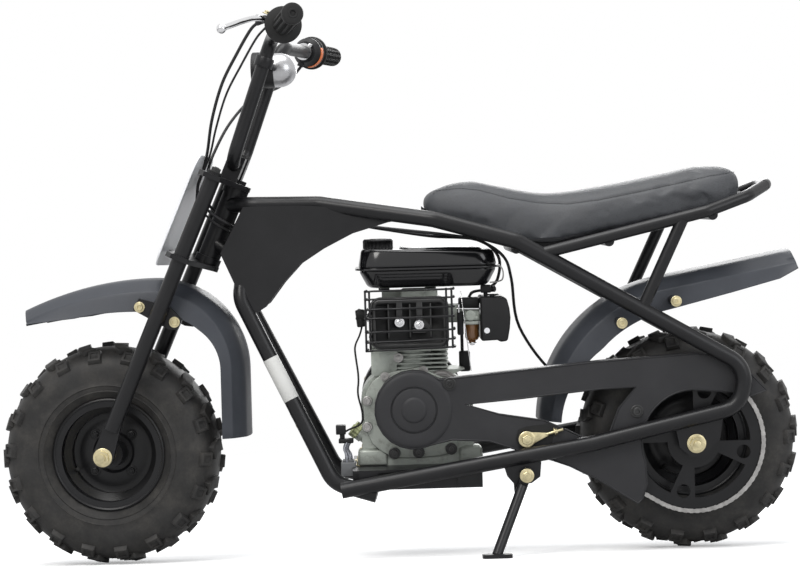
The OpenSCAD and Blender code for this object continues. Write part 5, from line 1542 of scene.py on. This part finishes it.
# %% Brake lever with its perch, and the throttle housing with its switch
perch = on_arm([(11.2, 0), (15.5, 0), (16, 1), (16, 21), (15.5, 22), (11.2, 22)], 124, 1, 32)
body = primitive("cube", mm(19, 200, 731), (0, 0, radians(11)), mm(15, 12, 9))
edit(body)
pick(body, lambda c, n: n.x > 0.9)
bpy.ops.transform.resize(value=(1, 0.7, 0.6))
close(body)
body = smooth(bevel(body, 0.003, 3))
ferrule = bar(mm(30, 196, 729), mm(40, 186, 722), 0.0042)
settle([perch, body, ferrule], "lever_perch", paint, "fork", ("brake_lever",))
blade_line = [mm(27, 202, 732), mm(38, 216, 728), mm(48, 238, 718), mm(54, 266, 708), mm(60, 292, 697),
              mm(66, 312, 688)]
blade = tube(blade_line, 0.0046, 12)
ball = primitive("uv_sphere", mm(66, 312, 688), segments=20, ring_count=12, radius=0.0075)
web = primitive("cube", mm(33, 209, 730), (0, 0, radians(40)), mm(9, 5.5, 3.5))
web = smooth(bevel(web, 0.0015, 2))
settle([blade, smooth(ball), web], "lever_blade", chrome, "fork", ("brake_lever",))
pivot = hex_bolt(mm(29, 203, 739), UP, 0.008, 0.004)
pinch = hex_bolt(along_arm(135, 1, (-15, 0, 6)), (-1, 0, 0.2), 0.008, 0.004)
settle([pivot, pinch], "lever_bolts", zinc, "fork")
housing = on_arm([(11.2, 0.6), (19, 0.6), (24, 2), (26, 4), (26, 9), (24.4, 9.6), (24.4, 20), (22, 23),
                  (18, 31), (11.2, 31)], 118.5, -1)
guide = bar(along_arm(140, -1, (2, 0, -14)), along_arm(140, -1, (2, 0, -27)), 0.0055)
settle([housing, guide], "throttle_housing", black_plastic, "fork", ("throttle",))
patch = on_arm([(25.0, 10.2), (25.4, 10.2), (25.4, 18.8), (25.0, 18.8)], 118.5, -1, 48)
edit(patch)
pick(patch, lambda c, n: not (-65 < degrees(atan2(c.y, c.x)) < 35))
bpy.ops.mesh.delete(type="FACE")
close(patch)
patch = modify(patch, "SOLIDIFY", thickness=0.0006, offset=1)
settle(patch, "orange_switch_band", orange, "fork")
clamp = on_arm([(11.2, 0), (14.5, 0), (14.5, 8), (11.2, 8)], 152, -1, 32)
knob = box((0, 0, 0), (6, 6, 6), 0.001)
knob.data.transform(Matrix.Translation(along_arm(156, -1, (-6, 0, 14)) - at(3, 3, 3)))
settle([clamp, knob], "throttle_clamp", chrome, "fork")
print("controls done")

# %% Headlamp: silver dome, black bell, lens, and brackets on the risers
LAMP = mm(6, 0, 676)
aim = Vector((cos(radians(24)), 0, -sin(radians(24))))


def in_lamp(profile, steps=64):
    """Turned piece round the lamp's own axis."""
    return stood(spun(in_mm(profile), steps), facing(LAMP, aim))


dome = in_lamp([(0, -27)] + [(27.5 * sin(radians(a)), -27 * cos(radians(a))) for a in range(10, 91, 10)]
               + [(27.5, 9), (26, 10), (0, 10)])
settle(dome, "lamp_dome", silver, "fork", ("headlamp",))
bell = in_lamp([(0, 8.5), (28, 8.5), (28.4, 9.5), (28.4, 30), (30.2, 31.5), (30.2, 43), (28.4, 44.6),
                (27.2, 44), (26.6, 40), (24, 30), (0, 24)])
settle(bell, "lamp_bell", black_plastic, "fork", ("headlamp",))
lens = in_lamp([(0, 40), (26.4, 40), (26.4, 41), (20, 42.6), (10, 43.6), (0, 43.9)])
edit(lens)
pick(lens, lambda c, n: c.z > 0.0405 and every_other(c, 5.625))
press(0.0004)
close(lens)
settle(lens, "lamp_lens", lens_white, "fork", ("headlamp",))
mounts = []
for side in (-1, 1):
    low, high = Vector((14, side * 60, 507)), Vector((28, side * 66, 714))
    ring = spun(in_mm([(11.2, -8), (14.6, -8), (15, -7), (15, 7), (14.6, 8), (11.2, 8)]), 32)
    stood(ring, facing((low + (high - low) * 0.8164) * MM, high - low))
    mounts += [ring, bar(mm(12, side * 24, 674), mm(22, side * 52, 676), 0.005)]
settle(mounts, "lamp_brackets", paint, "fork", ("headlamp",))
print("headlamp done")

# %% Crowns, clamps and number plate
plate = primitive("cube", mm(64.2, 0, 407), span=mm(1.4, 84, 95))
edit(plate, "EDGE")
pick(plate, lambda c, d: abs(d.y) + abs(d.z) < 1e-6, "edges")
bpy.ops.mesh.bevel(offset=0.026, segments=6)
bpy.ops.mesh.select_mode(type="FACE")
bpy.ops.mesh.select_all(action="DESELECT")
pick(plate, lambda c, n: n.x > 0.9)
bpy.ops.mesh.inset(thickness=0.006)
pull(0.0016, 0, 0)
bpy.ops.transform.resize(value=(1, 0.985, 0.985))
bpy.ops.mesh.select_all(action="DESELECT")
pick(plate, lambda c, n: n.x < -0.9)
bpy.ops.mesh.inset(thickness=0.004)
bpy.ops.mesh.inset(thickness=0.004)
close(plate)
plate = smooth(bevel(plate, 0.0005, 2), 30)
settle(plate, "front_plate", white_plate, "fork", ("number_plate",))
TAB_HEIGHTS = (338, 477)
tabs = [smooth(bevel(primitive("cube", mm(57.5, 0, z), span=mm(5.3, 14, 2)), 0.0006)) for z in TAB_HEIGHTS]
settle(tabs, "plate_tabs", paint, "fork", ("number_plate",))
plate_bolts = [hex_bolt(mm(67.2, y, z), (1, 0, 0), 0.008, 0.004) for y in (-9, 9) for z in TAB_HEIGHTS]
crown_bolts = [hex_bolt(mm(28, side * 95, 485.2), UP, 0.014, 0.006) for side in (-1, 1)]
settle(plate_bolts + crown_bolts, "fork_bolts", dark_steel, "fork")
clamp_bolts = [hex_bolt(mm(14 + dx, y, 522), UP, 0.008, 0.005, False, True)
               for dx in (-9, 9) for y in (-21, 21)]
settle(clamp_bolts, "clamp_bolts", dark_steel, "fork")
splits = [bevel(primitive("cube", mm(14, y, 507), span=mm(14.5, 9.5, 0.5)), 0.0002, 1) for y in (-21, 21)]
settle(splits, "clamp_splits", hard_rubber, "fork")
print("front end done")

# %% [markdown]
# ## Cables
#
# The brake's and the throttle's cables hang in front of the bars, go down between the
# upper crown and the plate, pass the head tube and run back inside the side panels.
# Where they cross the steering they bend between the fork and the frame. A cable is a
# line through its points, rounded, and swept with a round section.

# %% Cables and the brake switch's wire
def flowing(points, n=7):
    """Rounded line through points (Catmull-Rom)."""
    p = [points[0] * 2 - points[1]] + points + [points[-1] * 2 - points[-2]]
    line = []
    for i in range(1, len(p) - 2):
        for k in range(n):
            t = k / n
            line.append(0.5 * (2 * p[i] + (p[i + 1] - p[i - 1]) * t
                               + (2 * p[i - 1] - 5 * p[i] + 4 * p[i + 1] - p[i + 2]) * t * t
                               + (3 * p[i] - p[i - 1] - 3 * p[i + 1] + p[i + 2]) * t ** 3))
    return line + [points[-1]]


def cable(name, fork_points, frame_points, radius):
    """Cable that follows the fork at its start and the frame at its end."""
    points = [FORK @ (Vector(p) * MM) for p in fork_points] + [BIKE @ at(*p) for p in frame_points]
    line = flowing(points)
    o = tube(line, radius, 12, False)
    o.name = o.data.name = name
    o.data.materials.clear()
    o.data.materials.append(sleeve)
    length = sum((b - a).length for a, b in zip(line, line[1:]))
    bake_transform(o)
    print(name, round(length, 3), "m")
    return o


sleeve = finish("black_cable_sleeve", (0.014, 0.014, 0.015), 0.42, bump=0.1, shine=0.4)
HEAD_LEFT = [(57.5, 24, 478), (55, 31, 452), (42, 39, 432), (14, 39, 420), (-14, 31, 415), (-40, 20, 412)]
HEAD_RIGHT = [(x, -y, z) for x, y, z in HEAD_LEFT]
brake_cable = cable("brake_cable", [(40, 186, 722), (47, 178, 708), (56, 156, 670), (66, 120, 618),
                                    (67, 74, 560), (61, 34, 510)] + HEAD_LEFT,
                    [(200, 364, 20), (100, 362, 22), (0, 350, 22), (-100, 336, 20), (-140, 326, 12),
                     (-176, 300, 0), (-190, 262, -40), (-204, 180, -84), (-260, 100, -92), (-330, 62, -92),
                     (-366, 52, -88)], 0.0025)
throttle_cable = cable("throttle_cable", [(2, -194, 702), (6, -168, 680), (14, -112, 652), (40, -70, 620),
                                          (56, -42, 566), (60, -28, 510)] + HEAD_RIGHT,
                       [(200, 366, -20), (100, 364, -22), (20, 350, -28), (-60, 336, -40),
                        (-135, 328, -50), (-170, 300, -56), (-168, 262, -54), (-150, 247, -44),
                        (-126, 243, -24), (-118, 236, -4)], 0.0025)
cable("switch_wire", [(24, 190, 722), (34, 176, 700), (46, 138, 656), (58, 92, 606),
                      (60, 50, 552), (58, 17, 508), (57.5, 17.5, 478), (55, 24, 450),
                      (44, 33, 426), (14, 33, 410), (-14, 25, 405), (-40, 14, 402)],
      [(200, 356, 12), (150, 366, 20), (120, 378, 34)], 0.0018)
for o in (brake_cable, throttle_cable):
    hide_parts("fork_cables", "frame_cables")

# %% [markdown]
# ## Small parts of the frame
#
# Washers lie under the axle nuts, a bolt closes the stand's pivot, a bracket sits on the
# down tube, and a blank paper label is wrapped round that tube.

# %% Washers, pivot bolt, bracket, blank label
axle_washer = [(6.2, 0), (14.5, 0), (15, 0.6), (15, 2), (14.2, 2.4), (6.2, 2.4)]
rear_washer = turned(axle_washer, -466, 0, 114.1, 40)
rear_stub = turned([(0, 0), (5.2, 0), (5.2, 0.6), (4.4, 1), (0, 1)], -466, 0, 128, 24)
settle([rear_washer, rear_stub], "rear_washers", zinc)
front_washer = spun(in_mm(axle_washer), 40, ACROSS, mm(24, 100.1, 0))
settle(front_washer, "front_washer", zinc, "fork")
pivot_bolt = hex_bolt(at(-196, -41, 131.2), LEFT, 0.013, 0.005)
settle(pivot_bolt, "stand_pivot_bolt", zinc)
tab = cutout([(176, 62), (166, 66), (147, 30), (157, 24)], 74, 77, 0.0008)
tab_bolt = hex_bolt(at(160, 44, 77), LEFT, 0.008, 0.004)
settle(tab, "tube_bracket", paint)
settle(tab_bolt, "tube_bracket_bolt", zinc)
label_paper = finish("blank_paper_label", (0.62, 0.62, 0.6), 0.55, vary=0.03, bump=0.05, shine=0.3)
label = bar(at(204, 150, 67.5), at(172, 84, 76.4), 0.0129, 40, 0.0001)
settle(label, "blank_tube_label", label_paper)
plate_bolts = [hex_bolt(at(x, -30, y), UP, 0.012, 0.006) for x in (66, -122) for y in (-34, 30)]
settle(plate_bolts, "engine_plate_bolts", zinc)
print("small parts of the frame done")
